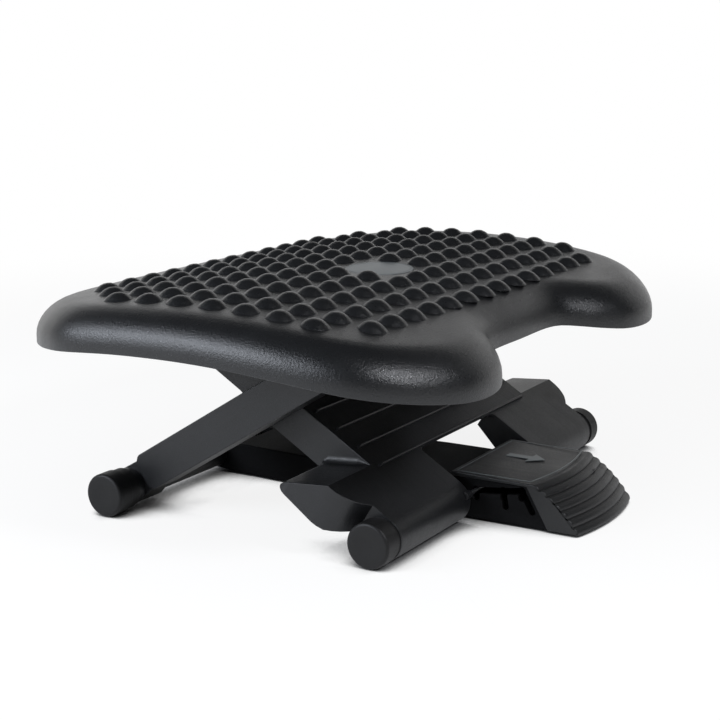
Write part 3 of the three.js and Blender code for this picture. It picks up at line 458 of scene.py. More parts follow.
def add(tree, kind, values=(), **settings):
    """A node with its settings, and its inputs as numbers or links"""
    made = tree.nodes.new(kind)
    for name, value in settings.items():
        setattr(made, name, value)
    for socket, value in dict(values).items():
        if isinstance(value, bpy.types.NodeSocket):
            tree.links.new(value, made.inputs[socket])
        else:
            made.inputs[socket].default_value = value
    return made


def maths(tree, operation, first, second=0.0, clamp=False):
    kind = "ShaderNodeMath"
    return add(tree, kind, {0: first, 1: second}, operation=operation, use_clamp=clamp).outputs[0]


def ranged(tree, value, low, high, **settings):
    """How far a value is from one limit to another, from 0 to 1"""
    limits = {"Value": value, "From Min": low, "From Max": high}
    return add(tree, "ShaderNodeMapRange", limits, clamp=True, **settings).outputs[0]


def new_group(name, kind, inputs, outputs):
    """A node group with named sockets and its input node"""
    tree = bpy.data.node_groups.new(name, kind)
    for label, socket, value in inputs:
        made = tree.interface.new_socket(name=label, in_out="INPUT", socket_type=socket)
        if value is not None:
            made.default_value = value
    for label, socket in outputs:
        tree.interface.new_socket(name=label, in_out="OUTPUT", socket_type=socket)
    return tree, tree.nodes.new("NodeGroupInput")


def group_output(tree, values):
    add(tree, "NodeGroupOutput", values)


FLOAT = "NodeSocketFloat"
MOTTLE_SCALE = 0.06
FINE_DEPTH = 0.4
GLINT_SPECK_LIMITS = (0.56, 0.72)
EDGE_LIMITS = (0.53, 0.62)
FACING_LIMITS = (0.55, 1.0)


def grain_group():
    """Fine moulded grain: its height, its mottle, and glossy flecks that the finishes paint paler as glints
    """
    name = "Moulded Grain"
    if name in bpy.data.node_groups:
        return bpy.data.node_groups[name]
    tree, source = new_group(name, "ShaderNodeTree",
                             [("Grain Size", FLOAT, 0.0011), ("Fine Share", FLOAT, 0.35)],
                             [("Height", FLOAT), ("Glint Specks", FLOAT), ("Mottle", FLOAT)])
    place = add(tree, "ShaderNodeTexCoord").outputs["Object"]
    coarse_scale = maths(tree, "DIVIDE", 1.0, source.outputs["Grain Size"])
    fine_size = maths(tree, "MULTIPLY", source.outputs["Grain Size"], source.outputs["Fine Share"])
    fine_scale = maths(tree, "DIVIDE", 1.0, fine_size)
    mottle_scale = maths(tree, "MULTIPLY", coarse_scale, MOTTLE_SCALE)
    coarse = add(tree, "ShaderNodeTexNoise", {"Vector": place, "Scale": coarse_scale, "Detail": 2.0})
    fine = add(tree, "ShaderNodeTexVoronoi", {"Vector": place, "Scale": fine_scale, "Randomness": 1.0})
    mottle = add(tree, "ShaderNodeTexNoise", {"Vector": place, "Scale": mottle_scale, "Detail": 3.0})
    height = maths(tree, "ADD", coarse.outputs[0],
                   maths(tree, "MULTIPLY", fine.outputs["Distance"], FINE_DEPTH))
    glint_specks = ranged(tree, coarse.outputs[0], *GLINT_SPECK_LIMITS)
    group_output(tree, {"Height": height, "Glint Specks": glint_specks, "Mottle": mottle.outputs[0]})
    return tree


def edge_highlight_group():
    """Painted highlight: paler colour along edges, broken up by noise"""
    name = "Edge Wear"
    if name in bpy.data.node_groups:
        return bpy.data.node_groups[name]
    tree, source = new_group(name, "ShaderNodeTree", [("Patch Size", FLOAT, 0.012)], [("Painted Highlight", FLOAT)])
    place = add(tree, "ShaderNodeTexCoord").outputs["Object"]
    edges = ranged(tree, add(tree, "ShaderNodeNewGeometry").outputs["Pointiness"], *EDGE_LIMITS)
    scale = maths(tree, "DIVIDE", 1.0, source.outputs["Patch Size"])
    patches = add(tree, "ShaderNodeTexNoise", {"Vector": place, "Scale": scale, "Detail": 4.0})
    group_output(tree, {"Painted Highlight": maths(tree, "MULTIPLY", edges, patches.outputs[0])})
    return tree


def dust_group():
    """Thin dust on faces that look up, gathered in patches"""
    name = "Settled Dust"
    if name in bpy.data.node_groups:
        return bpy.data.node_groups[name]
    tree, source = new_group(name, "ShaderNodeTree", [("Patch Size", FLOAT, 0.03)], [("Dust", FLOAT)])
    place = add(tree, "ShaderNodeTexCoord").outputs["Object"]
    normal = add(tree, "ShaderNodeNewGeometry").outputs["Normal"]
    up = add(tree, "ShaderNodeSeparateXYZ", {0: normal}).outputs["Z"]
    facing = ranged(tree, up, *FACING_LIMITS)
    scale = maths(tree, "DIVIDE", 1.0, source.outputs["Patch Size"])
    patches = add(tree, "ShaderNodeTexNoise", {"Vector": place, "Scale": scale, "Detail": 5.0})
    group_output(tree, {"Dust": maths(tree, "MULTIPLY", facing, patches.outputs[0])})
    return tree


def streak_group():
    """Faint streaks that run from front to rear"""
    name = "Drawn Streaks"
    if name in bpy.data.node_groups:
        return bpy.data.node_groups[name]
    tree, source = new_group(name, "ShaderNodeTree",
                             [("Width", FLOAT, 0.0015), ("Length", FLOAT, 0.06)], [("Streaks", FLOAT)])
    place = add(tree, "ShaderNodeTexCoord").outputs["Object"]
    narrow = maths(tree, "DIVIDE", 1.0, source.outputs["Width"])
    along = maths(tree, "DIVIDE", 1.0, source.outputs["Length"])
    scale = add(tree, "ShaderNodeCombineXYZ", {0: narrow, 1: along, 2: along})
    stretched = add(tree, "ShaderNodeVectorMath", {0: place, 1: scale.outputs[0]}, operation="MULTIPLY")
    noise = add(tree, "ShaderNodeTexNoise", {"Vector": stretched.outputs[0], "Scale": 1.0, "Detail": 3.0})
    group_output(tree, {"Streaks": noise.outputs[0]})
    return tree


def mixed(tree, share, first, second):
    """A colour between two, by a share"""
    made = tree.nodes.new("ShaderNodeMix")
    made.data_type = "RGBA"
    for socket, value in ((0, share), (6, first), (7, second)):
        if isinstance(value, bpy.types.NodeSocket):
            tree.links.new(value, made.inputs[socket])
        else:
            made.inputs[socket].default_value = value
    return made.outputs[2]


def solid_colour(colour, gain=1.0):
    return (*(min(1.0, gain * part) for part in colour), 1.0)


# How strongly each layer of a finish shows, how much paler than the base it is, and how rough
MOTTLE_GAINS = (0.8, 1.25)
MOTTLE_ROUGHNESS = 0.12
# Flecks of the grain are glossier, and their paler colour is a painted glint
PAINTED_GLINT_SHARE = 0.4
PAINTED_GLINT_GAIN = 3.0
SPECK_GLOSS = 0.22
# Edges are painted paler: a painted highlight along them
EDGE_HIGHLIGHT_GAIN = 5.0
STREAK_GAIN = 2.6
DUST_SHARE = 0.2
DUST_COLOUR = (0.2, 0.19, 0.18)
DUST_ROUGHNESS = 0.3
DRAWN_GAINS = (0.75, 1.2)
DRAWN_ROUGHNESS = 0.2
DRAWN_DEPTH = 0.00002
# The steel's edges are painted paler too: a painted highlight
EDGE_HIGHLIGHT_SHARE = 0.6
EDGE_HIGHLIGHT_COLOUR = (0.45, 0.45, 0.46)
COATED_METALLIC = 0.6


def new_material(name):
    material = bpy.data.materials.new(name)
    material.use_nodes = True
    return material, material.node_tree


def moulded(name, colour, roughness, grain_size=0.0011, grain_depth=0.00006, glint_specks=0.5, dust=0.25,
            edge_highlight=0.35, streaks=0.0, specular=0.5):
    """Moulded plastic or rubber: grained with painted glints, a little dusty, and painted paler along its
    edges as a highlight
    """
    if name in bpy.data.materials:
        return bpy.data.materials[name]
    material, tree = new_material(name)
    shader = tree.nodes["Principled BSDF"]
    grain = add(tree, "ShaderNodeGroup", node_tree=grain_group())
    grain.inputs["Grain Size"].default_value = grain_size
    edge_highlight_mask = add(tree, "ShaderNodeGroup", node_tree=edge_highlight_group()).outputs["Painted Highlight"]
    dusty = add(tree, "ShaderNodeGroup", node_tree=dust_group()).outputs["Dust"]
    drawn = add(tree, "ShaderNodeGroup", node_tree=streak_group()).outputs["Streaks"]
    mottle, glint_speckled = grain.outputs["Mottle"], grain.outputs["Glint Specks"]
    base = mixed(tree, mottle, *(solid_colour(colour, gain) for gain in MOTTLE_GAINS))
    # Painted glint: flecks of the grain painted paler than the base
    base = mixed(tree, maths(tree, "MULTIPLY", glint_speckled, glint_specks * PAINTED_GLINT_SHARE), base,
                 solid_colour(colour, PAINTED_GLINT_GAIN))
    # Painted highlight: edges painted paler than the base
    base = mixed(tree, maths(tree, "MULTIPLY", edge_highlight_mask, edge_highlight), base, solid_colour(colour, EDGE_HIGHLIGHT_GAIN))
    base = mixed(tree, maths(tree, "MULTIPLY", dusty, dust * DUST_SHARE), base, solid_colour(DUST_COLOUR))
    if streaks:
        base = mixed(tree, maths(tree, "MULTIPLY", drawn, streaks), base, solid_colour(colour, STREAK_GAIN))
    tree.links.new(base, shader.inputs["Base Color"])
    uneven = maths(tree, "MULTIPLY", maths(tree, "SUBTRACT", mottle, 0.5), MOTTLE_ROUGHNESS)
    rough = maths(tree, "ADD", roughness, uneven)
    rough = maths(tree, "SUBTRACT", rough, maths(tree, "MULTIPLY", glint_speckled, glint_specks * SPECK_GLOSS))
    if streaks:
        grooves = maths(tree, "MULTIPLY", maths(tree, "SUBTRACT", drawn, 0.5), streaks)
        rough = maths(tree, "SUBTRACT", rough, grooves)
    rough = maths(tree, "ADD", rough, maths(tree, "MULTIPLY", dusty, dust * DUST_ROUGHNESS), clamp=True)
    tree.links.new(rough, shader.inputs["Roughness"])
    shader.inputs["Specular IOR Level"].default_value = specular
    bump = add(tree, "ShaderNodeBump", {"Height": grain.outputs["Height"], "Strength": 1.0,
                                        "Distance": grain_depth})
    tree.links.new(bump.outputs[0], shader.inputs["Normal"])
    return material


def metal(name, colour, roughness, coated=False):
    """Bright drawn steel, or steel under a black coat"""
    if name in bpy.data.materials:
        return bpy.data.materials[name]
    material, tree = new_material(name)
    shader = tree.nodes["Principled BSDF"]
    grain = add(tree, "ShaderNodeGroup", node_tree=grain_group())
    drawn = add(tree, "ShaderNodeGroup", node_tree=streak_group()).outputs["Streaks"]
    edge_highlight_mask = add(tree, "ShaderNodeGroup", node_tree=edge_highlight_group()).outputs["Painted Highlight"]
    base = mixed(tree, drawn, *(solid_colour(colour, gain) for gain in DRAWN_GAINS))
    # Painted highlight: the steel's edges painted paler
    base = mixed(tree, maths(tree, "MULTIPLY", edge_highlight_mask, EDGE_HIGHLIGHT_SHARE), base, solid_colour(EDGE_HIGHLIGHT_COLOUR))
    tree.links.new(base, shader.inputs["Base Color"])
    mottle = grain.outputs["Mottle"]
    uneven = maths(tree, "MULTIPLY", maths(tree, "SUBTRACT", mottle, 0.5), DRAWN_ROUGHNESS)
    rough = maths(tree, "ADD", roughness, uneven, clamp=True)
    tree.links.new(rough, shader.inputs["Roughness"])
    shader.inputs["Metallic"].default_value = COATED_METALLIC if coated else 1.0
    bump = add(tree, "ShaderNodeBump", {"Height": drawn, "Strength": 1.0, "Distance": DRAWN_DEPTH})
    tree.links.new(bump.outputs[0], shader.inputs["Normal"])
    return material


def finish_for(slot):
    """The finish of one of the record's material slots"""
    colours = bpy.context.scene.footrest_finishes
    makers = {
        "platform_plastic": lambda: moulded("Platform Plastic", colours.platform, 0.34, grain_size=0.0014,
                                            grain_depth=0.0002, glint_specks=0.4, dust=0.1, edge_highlight=0.06),
        "leg_plastic": lambda: moulded("Leg Plastic", colours.leg, 0.44, grain_depth=0.00008, dust=0.05,
                                       streaks=0.16),
        "rail_plastic": lambda: moulded("Rail Plastic", colours.rail, 0.75, grain_depth=0.00004, dust=0.02,
                                        specular=0.08),
        "pedal_plastic": lambda: moulded("Pedal Plastic", colours.pedal, 0.43, dust=0.27, streaks=0.15),
        "badge_plastic": lambda: moulded("Badge Plastic", colours.badge, 0.38, grain_depth=0.00001,
                                         glint_specks=0.1, edge_highlight=0.1),
        "foot_rubber": lambda: moulded("Foot Rubber", colours.rubber, 0.5, grain_size=0.0007, glint_specks=0.2,
                                       dust=0.08, specular=0.32),
        "pad_rubber": lambda: moulded("Pad Rubber", colours.pad, 0.75, grain_size=0.0006, glint_specks=0.1),
        "nylon": lambda: moulded("Black Nylon", colours.nylon, 0.42, grain_depth=0.00001, glint_specks=0.1),
        "bright_steel": lambda: metal("Bright Steel", colours.steel, 0.3),
        "black_steel": lambda: metal("Black Steel", colours.black_steel, 0.42, coated=True),
    }
    return makers[slot]()


# Geometry Nodes

GEOMETRY = "NodeSocketGeometry"
BUMP_RING_POWER = 1.5
RIDGE_VERTICES = (150, 6)
# How far a ridge's crest falls to its sides, as a share of its height
CREST_FALL = 0.3
SPRING_STEPS = 40
WIRE_FACETS = 14


def set_inputs(modifier, values):
    """Sets a modifier's inputs by their sockets' identifiers"""
    for item in modifier.node_group.interface.items_tree:
        if item.item_type == "SOCKET" and item.in_out == "INPUT" and item.name in values:
            modifier[item.identifier] = values[item.name]


def grown(name, places, tree, values):
    """The plain mesh that a tree makes from a list of places"""
    mesh = bpy.data.meshes.new(name)
    mesh.from_pydata(places, [], [])
    made = link(name, mesh)
    modifier = made.modifiers.new(name, "NODES")
    modifier.node_group = tree
    set_inputs(modifier, values)
    return baked(made)


def painted_output(tree, geometry, source):
    """Ends a tree: real geometry, smooth, in its material"""
    real = add(tree, "GeometryNodeRealizeInstances", {0: geometry}).outputs[0]
    smooth = add(tree, "GeometryNodeSetShadeSmooth", {"Geometry": real}).outputs[0]
    painted = add(tree, "GeometryNodeSetMaterial",
                  {"Geometry": smooth, "Material": source.outputs["Material"]})
    group_output(tree, {0: painted.outputs[0]})


def bump_tree():
    """Domes with soft feet at each place, lifted onto the platform's crown"""
    tree, source = new_group(
        "Massage Bumps", "GeometryNodeTree",
        [("Places", GEOMETRY, None), ("Radius", FLOAT, 0.01), ("Height", FLOAT, 0.005),
         ("Softness", FLOAT, 1.5), ("Roundness", FLOAT, 2.0), ("Sides", "NodeSocketInt", 12),
         ("Rings", "NodeSocketInt", 5), ("Crown Top", FLOAT, 0.1), ("Crown Middle", FLOAT, 0.0),
         ("Front Crown", FLOAT, 0.7), ("Back Crown", FLOAT, 0.8), ("Sink", FLOAT, 0.00002),
         ("Material", "NodeSocketMaterial", None)],
        [("Geometry", GEOMETRY)])
    get = source.outputs
    cone = add(tree, "GeometryNodeMeshCone",
               {"Vertices": get["Sides"], "Side Segments": get["Rings"], "Radius Top": 0.0,
                "Radius Bottom": get["Radius"], "Depth": get["Height"]}, fill_type="NGON")
    spot = add(tree, "ShaderNodeSeparateXYZ", {0: add(tree, "GeometryNodeInputPosition").outputs[0]})
    flat = add(tree, "ShaderNodeCombineXYZ", {0: spot.outputs[0], 1: spot.outputs[1]})
    reach = add(tree, "ShaderNodeVectorMath", {0: flat.outputs[0]}, operation="LENGTH").outputs["Value"]
    share = maths(tree, "MAXIMUM", maths(tree, "DIVIDE", reach, get["Radius"]), MERGE)
    left = maths(tree, "SUBTRACT", 1.0, share, clamp=True)
    spread = maths(tree, "SUBTRACT", 1.0, maths(tree, "POWER", left, BUMP_RING_POWER))
    widen = maths(tree, "DIVIDE", spread, share)
    rest = maths(tree, "SUBTRACT", 1.0, maths(tree, "POWER", spread, get["Roundness"]), clamp=True)
    swell = maths(tree, "POWER", rest, get["Softness"])
    rise = maths(tree, "SUBTRACT", maths(tree, "MULTIPLY", swell, get["Height"]), get["Sink"])
    x, y = (maths(tree, "MULTIPLY", spot.outputs[axis], widen) for axis in (0, 1))
    moved = add(tree, "ShaderNodeCombineXYZ", {0: x, 1: y, 2: rise})
    dome = add(tree, "GeometryNodeSetPosition",
               {"Geometry": cone.outputs["Mesh"], "Position": moved.outputs[0]})
    copies = add(tree, "GeometryNodeInstanceOnPoints",
                 {"Points": get["Places"], "Instance": dome.outputs[0]})
    real = add(tree, "GeometryNodeRealizeInstances", {0: copies.outputs[0]})
    y = add(tree, "ShaderNodeSeparateXYZ", {0: add(tree, "GeometryNodeInputPosition").outputs[0]}).outputs[1]
    run = maths(tree, "SUBTRACT", y, get["Crown Middle"])
    behind = maths(tree, "GREATER_THAN", run, 0.0)
    radius = maths(tree, "ADD", get["Front Crown"], maths(
        tree, "MULTIPLY", behind, maths(tree, "SUBTRACT", get["Back Crown"], get["Front Crown"])))
    fall = maths(tree, "DIVIDE", maths(tree, "MULTIPLY", run, run), maths(tree, "MULTIPLY", radius, 2.0))
    lift = add(tree, "ShaderNodeCombineXYZ", {2: maths(tree, "SUBTRACT", get["Crown Top"], fall)})
    lifted = add(tree, "GeometryNodeSetPosition", {"Geometry": real.outputs[0], "Offset": lift.outputs[0]})
    painted_output(tree, lifted.outputs[0], source)
    return tree


def copies_tree():
    """Copies of a master piece at each place"""
    name = "Copies At Places"
    if name in bpy.data.node_groups:
        return bpy.data.node_groups[name]
    tree, source = new_group(
        name, "GeometryNodeTree",
        [("Places", GEOMETRY, None), ("Master", "NodeSocketObject", None),
         ("Material", "NodeSocketMaterial", None)],
        [("Geometry", GEOMETRY)])
    master = add(tree, "GeometryNodeObjectInfo", {"Object": source.outputs["Master"]})
    copies = add(tree, "GeometryNodeInstanceOnPoints",
                 {"Points": source.outputs["Places"], "Instance": master.outputs["Geometry"]})
    painted_output(tree, copies.outputs[0], source)
    return tree


def ridge_tree():
    """Upright ridges at each place, rounded along their crests and falling away at their ends"""
    tree, source = new_group(
        "Plate Ridges", "GeometryNodeTree",
        [("Places", GEOMETRY, None), ("Half Length", FLOAT, 0.1), ("Height", FLOAT, 0.002),
         ("Thickness", FLOAT, 0.0016), ("End Round", FLOAT, 0.003), ("Sink", FLOAT, 0.0006),
         ("Lean", FLOAT, 0.5), ("Material", "NodeSocketMaterial", None)],
        [("Geometry", GEOMETRY)])
    get = source.outputs
    length = maths(tree, "MULTIPLY", get["Half Length"], 2.0)
    size = add(tree, "ShaderNodeCombineXYZ", {0: length, 1: get["Thickness"], 2: 1.0})
    stick = add(tree, "GeometryNodeMeshCube",
                {"Size": size.outputs[0], "Vertices X": RIDGE_VERTICES[0], "Vertices Y": RIDGE_VERTICES[1],
                 "Vertices Z": 2})
    spot = add(tree, "ShaderNodeSeparateXYZ", {0: add(tree, "GeometryNodeInputPosition").outputs[0]}).outputs
    from_end = maths(tree, "SUBTRACT", get["Half Length"], maths(tree, "ABSOLUTE", spot[0]))
    fall = maths(tree, "DIVIDE", from_end, get["End Round"], clamp=True)
    ease = maths(tree, "SINE", maths(tree, "MULTIPLY", fall, math.pi / 2))
    offset = maths(tree, "DIVIDE", maths(tree, "MULTIPLY", spot[1], 2.0), get["Thickness"])
    square = maths(tree, "MULTIPLY", offset, offset)
    crown = maths(tree, "SUBTRACT", 1.0, maths(tree, "MULTIPLY", square, CREST_FALL))
    top = maths(tree, "MULTIPLY", maths(tree, "MULTIPLY", get["Height"], ease), crown)
    above = maths(tree, "GREATER_THAN", spot[2], 0.0)
    lifted = maths(tree, "MULTIPLY", maths(tree, "ADD", top, get["Sink"]), above)
    rise = maths(tree, "SUBTRACT", lifted, get["Sink"])
    moved = add(tree, "ShaderNodeCombineXYZ", {0: spot[0], 1: spot[1], 2: rise})
    shaped = add(tree, "GeometryNodeSetPosition",
                 {"Geometry": stick.outputs["Mesh"], "Position": moved.outputs[0]})
    turn = add(tree, "ShaderNodeCombineXYZ", {0: get["Lean"]})
    leant = add(tree, "GeometryNodeTransform", {"Geometry": shaped.outputs[0], "Rotation": turn.outputs[0]})
    copies = add(tree, "GeometryNodeInstanceOnPoints",
                 {"Points": get["Places"], "Instance": leant.outputs[0]})
    painted_output(tree, copies.outputs[0], source)
    return tree


def spring_tree():
    """A round wire wound along X at each place"""
    tree, source = new_group(
        "Wound Wire", "GeometryNodeTree",
        [("Places", GEOMETRY, None), ("Radius", FLOAT, 0.009), ("Wire", FLOAT, 0.001),
         ("Length", FLOAT, 0.02), ("Curls", FLOAT, 6.0), ("Material", "NodeSocketMaterial", None)],
        [("Geometry", GEOMETRY)])
    get = source.outputs
    spiral = add(tree, "GeometryNodeCurveSpiral",
                 {"Resolution": SPRING_STEPS, "Rotations": get["Curls"], "Start Radius": get["Radius"],
                  "End Radius": get["Radius"], "Height": get["Length"]})
    section = add(tree, "GeometryNodeCurvePrimitiveCircle",
                  {"Resolution": WIRE_FACETS, "Radius": get["Wire"]})
    wire = add(tree, "GeometryNodeCurveToMesh",
               {"Curve": spiral.outputs[0], "Profile Curve": section.outputs[0], "Fill Caps": True})
    laid = add(tree, "GeometryNodeTransform", {"Geometry": wire.outputs[0], "Rotation": (0, math.pi / 2, 0)})
    copies = add(tree, "GeometryNodeInstanceOnPoints",
                 {"Points": get["Places"], "Instance": laid.outputs[0]})
    painted_output(tree, copies.outputs[0], source)
    return tree


# Platform

CURVE_FINENESS = 24
OUTLINE_STEPS = 216
CROWN_RINGS = 26
INNER_RINGS = 12
RIM_STEPS = 9
LIP_ROUND = 0.0009
LIP_STEPS = 3
PLATFORM_BEHIND_AXLE = 0.007


def crown_height(sizes, y):
    run = y - TILT_AXLE.y
    radius = sizes.crown_back if run > 0 else sizes.crown_front
    return TILT_AXLE.z + sizes.rise - run * run / (2 * radius)


def smooth_point(points, share):
    """A point between the middle two of four, on a centripetal curve through them"""
    knots = [0.0]
    for a, b in zip(points, points[1:]):
        knots.append(knots[-1] + math.sqrt((b - a).length))
    at = knots[1] + (knots[2] - knots[1]) * share
    level = list(points)
    for width, spans in ((1, (0, 1, 2)), (2, (0, 1)), (1, (1,))):
        level = [level[k].lerp(level[k + 1], (at - knots[j]) / (knots[j + width] - knots[j]))
                 for k, j in enumerate(spans)]
    return level[0]


def evenly_spaced(loop, count):
    """The same closed line with evenly spaced points"""
    lengths = [(b - a).length for a, b in zip(loop, loop[1:] + loop[:1])]
    pitch = sum(lengths) / count
    spaced = []
    travelled, i = 0.0, 0
    for k in range(count):
        while travelled + lengths[i] < k * pitch - MERGE:
            travelled += lengths[i]
            i += 1
        share = (k * pitch - travelled) / lengths[i]
        spaced.append(loop[i].lerp(loop[(i + 1) % len(loop)], share))
    return spaced


def platform_outline(sizes):
    middle_y = TILT_AXLE.y + PLATFORM_BEHIND_AXLE
    half = [Vector((x * sizes.half_width, middle_y + y * sizes.half_depth)) for x, y in OUTLINE_SHARES]
    corners = half + [Vector((-p.x, p.y)) for p in half[-2:0:-1]]
    count = len(corners)
    loop = [smooth_point([corners[(i + k) % count] for k in (-1, 0, 1, 2)], step / CURVE_FINENESS)
            for i in range(count) for step in range(CURVE_FINENESS)]
    return evenly_spaced(loop, OUTLINE_STEPS)


def moved_in(outline, inset):
    """A closed outline moved inwards square to itself"""
    count = len(outline)
    moved = []
    for i, point in enumerate(outline):
        along = (outline[(i + 1) % count] - outline[i - 1]).normalized()
        moved.append(point + inset * Vector((-along.y, along.x)))
    return moved


def skin(rings, first, last):
    """One closed skin over a list of rings, with a fan to a middle point at each end"""
    bm = bmesh.new()
    made = [[bm.verts.new(point) for point in ring] for ring in rings]
    count = len(made[0])
    for ring, other in zip(made, made[1:]):
        for i in range(count):
            j = (i + 1) % count
            bm.faces.new((ring[i], ring[j], other[j], other[i]))
    for ring, point in ((made[0], first), (made[-1], last)):
        pole = bm.verts.new(point)
        for i in range(count):
            bm.faces.new((pole, ring[i], ring[(i + 1) % count]))
    return from_bmesh("skin", bm)


def tray(sizes):
    """The domed tray with its rounded rim and the hollow under it"""
    outline = platform_outline(sizes)
    middle_y = TILT_AXLE.y + PLATFORM_BEHIND_AXLE
    centre = Vector((0, middle_y))

    def ring(inset, drop, share=1.0):
        points = [centre + (p - centre) * share for p in moved_in(outline, inset)]
        return [(p.x, p.y, crown_height(sizes, p.y) - drop) for p in points]

    def rim(depth, shares):
        angles = [math.pi / 2 * share for share in shares]
        return [ring(depth + (sizes.round_inset - depth) * (1 - math.sin(angle)),
                     depth + (sizes.round_drop - depth) * (1 - math.cos(angle))) for angle in angles]

    rings = [ring(sizes.round_inset, 0, k / CROWN_RINGS) for k in range(1, CROWN_RINGS + 1)]
    rings += rim(0, [k / RIM_STEPS for k in range(1, RIM_STEPS + 1)])
    drop = sizes.rim_drop
    for k in range(LIP_STEPS + 1):
        turn = math.pi / 2 * k / LIP_STEPS
        rings.append(ring(LIP_ROUND * (1 - math.cos(turn)), drop - LIP_ROUND * (1 - math.sin(turn))))
    rings += [ring(sizes.wall - LIP_ROUND / 2, drop), ring(sizes.wall, drop - LIP_ROUND / 2)]
    rings += rim(sizes.wall, [1 - k / RIM_STEPS for k in range(RIM_STEPS + 1)])
    rings += [ring(sizes.round_inset, sizes.wall, 1 - k / INNER_RINGS) for k in range(1, INNER_RINGS)]
    top = crown_height(sizes, middle_y)
    return skin(rings, (0, middle_y, top), (0, middle_y, top - sizes.wall))


UNDER_RIB_SHARES = (2 / 3, 0.83)
UNDER_RIB_LENGTH = 0.52
UNDER_RIB_DEPTH = 0.008
UNDER_RIB_POINTS = 24
SADDLE_THICKNESS = 0.01
SADDLE_HALF_DEPTH = 0.013
CLAMP_DEPTH = 0.008
CLAMP_SCREW_OFFSET = 0.0085
SCREW_RADIUS = 0.0016
SCREW_LENGTH = 0.012
SCREW_HEAD_HEIGHT = 0.0022
SCREW_HEAD_RADIUS = 0.0032
BADGE_THICKNESS = 0.0014
BADGE_GAP = 0.0003


def under_rib(sizes, x):
    reach = UNDER_RIB_LENGTH * sizes.half_depth
    ys = [TILT_AXLE.y + reach * (2 * i / (UNDER_RIB_POINTS - 1) - 1) for i in range(UNDER_RIB_POINTS)]
    top = [(y, crown_height(sizes, y) - sizes.wall / 2) for y in ys]
    bottom = [(y, crown_height(sizes, y) - sizes.wall - UNDER_RIB_DEPTH) for y in reversed(ys)]
    return prism(top + bottom, (x - WALL / 2, x + WALL / 2))


def oval(half_width, half_depth):
    place = middle("badge_plate")
    return [(half_width * math.cos(t), place.y + half_depth * math.sin(t)) for t in full_turn(ROUND_FACETS)]


def screw_places():
    """The clamp screws' places, two on each saddle"""
    x = SADDLE_X - SADDLE_THICKNESS / 2
    return [(side * x, TILT_AXLE.y + end * CLAMP_SCREW_OFFSET) for _, side in SIDES for end in (1, -1)]


def build_platform():
    sizes = bpy.context.scene.footrest_platform
    bumps = bpy.context.scene.footrest_bumps
    body = tray(sizes)
    depth = (TILT_AXLE.y - SADDLE_HALF_DEPTH, TILT_AXLE.y + SADDLE_HALF_DEPTH)
    top = crown_height(sizes, TILT_AXLE.y) - sizes.wall / 2
    parts = [block(span_on(side, SADDLE_X - SADDLE_THICKNESS, SADDLE_X), depth, (TILT_AXLE.z + GAP, top))
             for _, side in SIDES]
    parts += [under_rib(sizes, side * share * sizes.half_width)
              for _, side in SIDES for share in UNDER_RIB_SHARES]
    join(body, *parts)
    seat_floor = crown_height(sizes, middle("badge_plate").y - bumps.badge_half_depth) - BADGE_THICKNESS
    seat = prism(oval(bumps.badge_half_width + BADGE_GAP, bumps.badge_half_depth + BADGE_GAP),
                 (seat_floor, TILT_AXLE.z + sizes.rise + OVERRUN), upward)
    axle = bar(AXLE_RADIUS + GAP, (-SADDLE_X - OVERRUN, SADDLE_X + OVERRUN), TILT_AXLE, facets=SMALL_FACETS)
    pilots = [upright(SCREW_RADIUS + GAP, (TILT_AXLE.z - OVERRUN, TILT_AXLE.z + GAP + CLAMP_DEPTH / 4), x, y)
              for x, y in screw_places()]
    cut(body, seat, axle, *pilots)
    finish_piece(body, "platform_tray", "platform", "platform_plastic", ["platform_shell"], weighed=False)


BUMP_SINK = 0.00002
BUMP_SHARP_ANGLE = math.radians(100)


def build_bumps():
    sizes = bpy.context.scene.footrest_platform
    bumps = bpy.context.scene.footrest_bumps
    places = []
    for row, count in enumerate(BUMP_ROW_COUNTS):
        y = TILT_AXLE.y + (row - (len(BUMP_ROW_COUNTS) - 1) / 2) * bumps.pitch_y
        for i in range(count):
            step = i - (count - 1) / 2
            if row in BADGE_ROWS and abs(step) < BADGE_BUMPS / 2:
                continue
            places.append((step * bumps.pitch_x, y, 0.0))
    made = grown("massage_bumps", places, bump_tree(), {
        "Radius": bumps.radius, "Height": bumps.height, "Softness": bumps.softness,
        "Roundness": bumps.roundness, "Sides": bumps.sides, "Rings": bumps.rings,
        "Crown Top": TILT_AXLE.z + sizes.rise, "Crown Middle": TILT_AXLE.y,
        "Front Crown": sizes.crown_front, "Back Crown": sizes.crown_back, "Sink": BUMP_SINK,
        "Material": finish_for("platform_plastic")})
    finish_piece(made, "massage_bumps", "platform", "platform_plastic", weighed=False, sharp=BUMP_SHARP_ANGLE)


BADGE_DOME = 0.0005
BADGE_EDGE = 0.0004
BADGE_EDGE_SHARE = 0.3
BADGE_BORDER = 0.0022
BADGE_GROOVE = 0.00035
BADGE_RINGS = 8


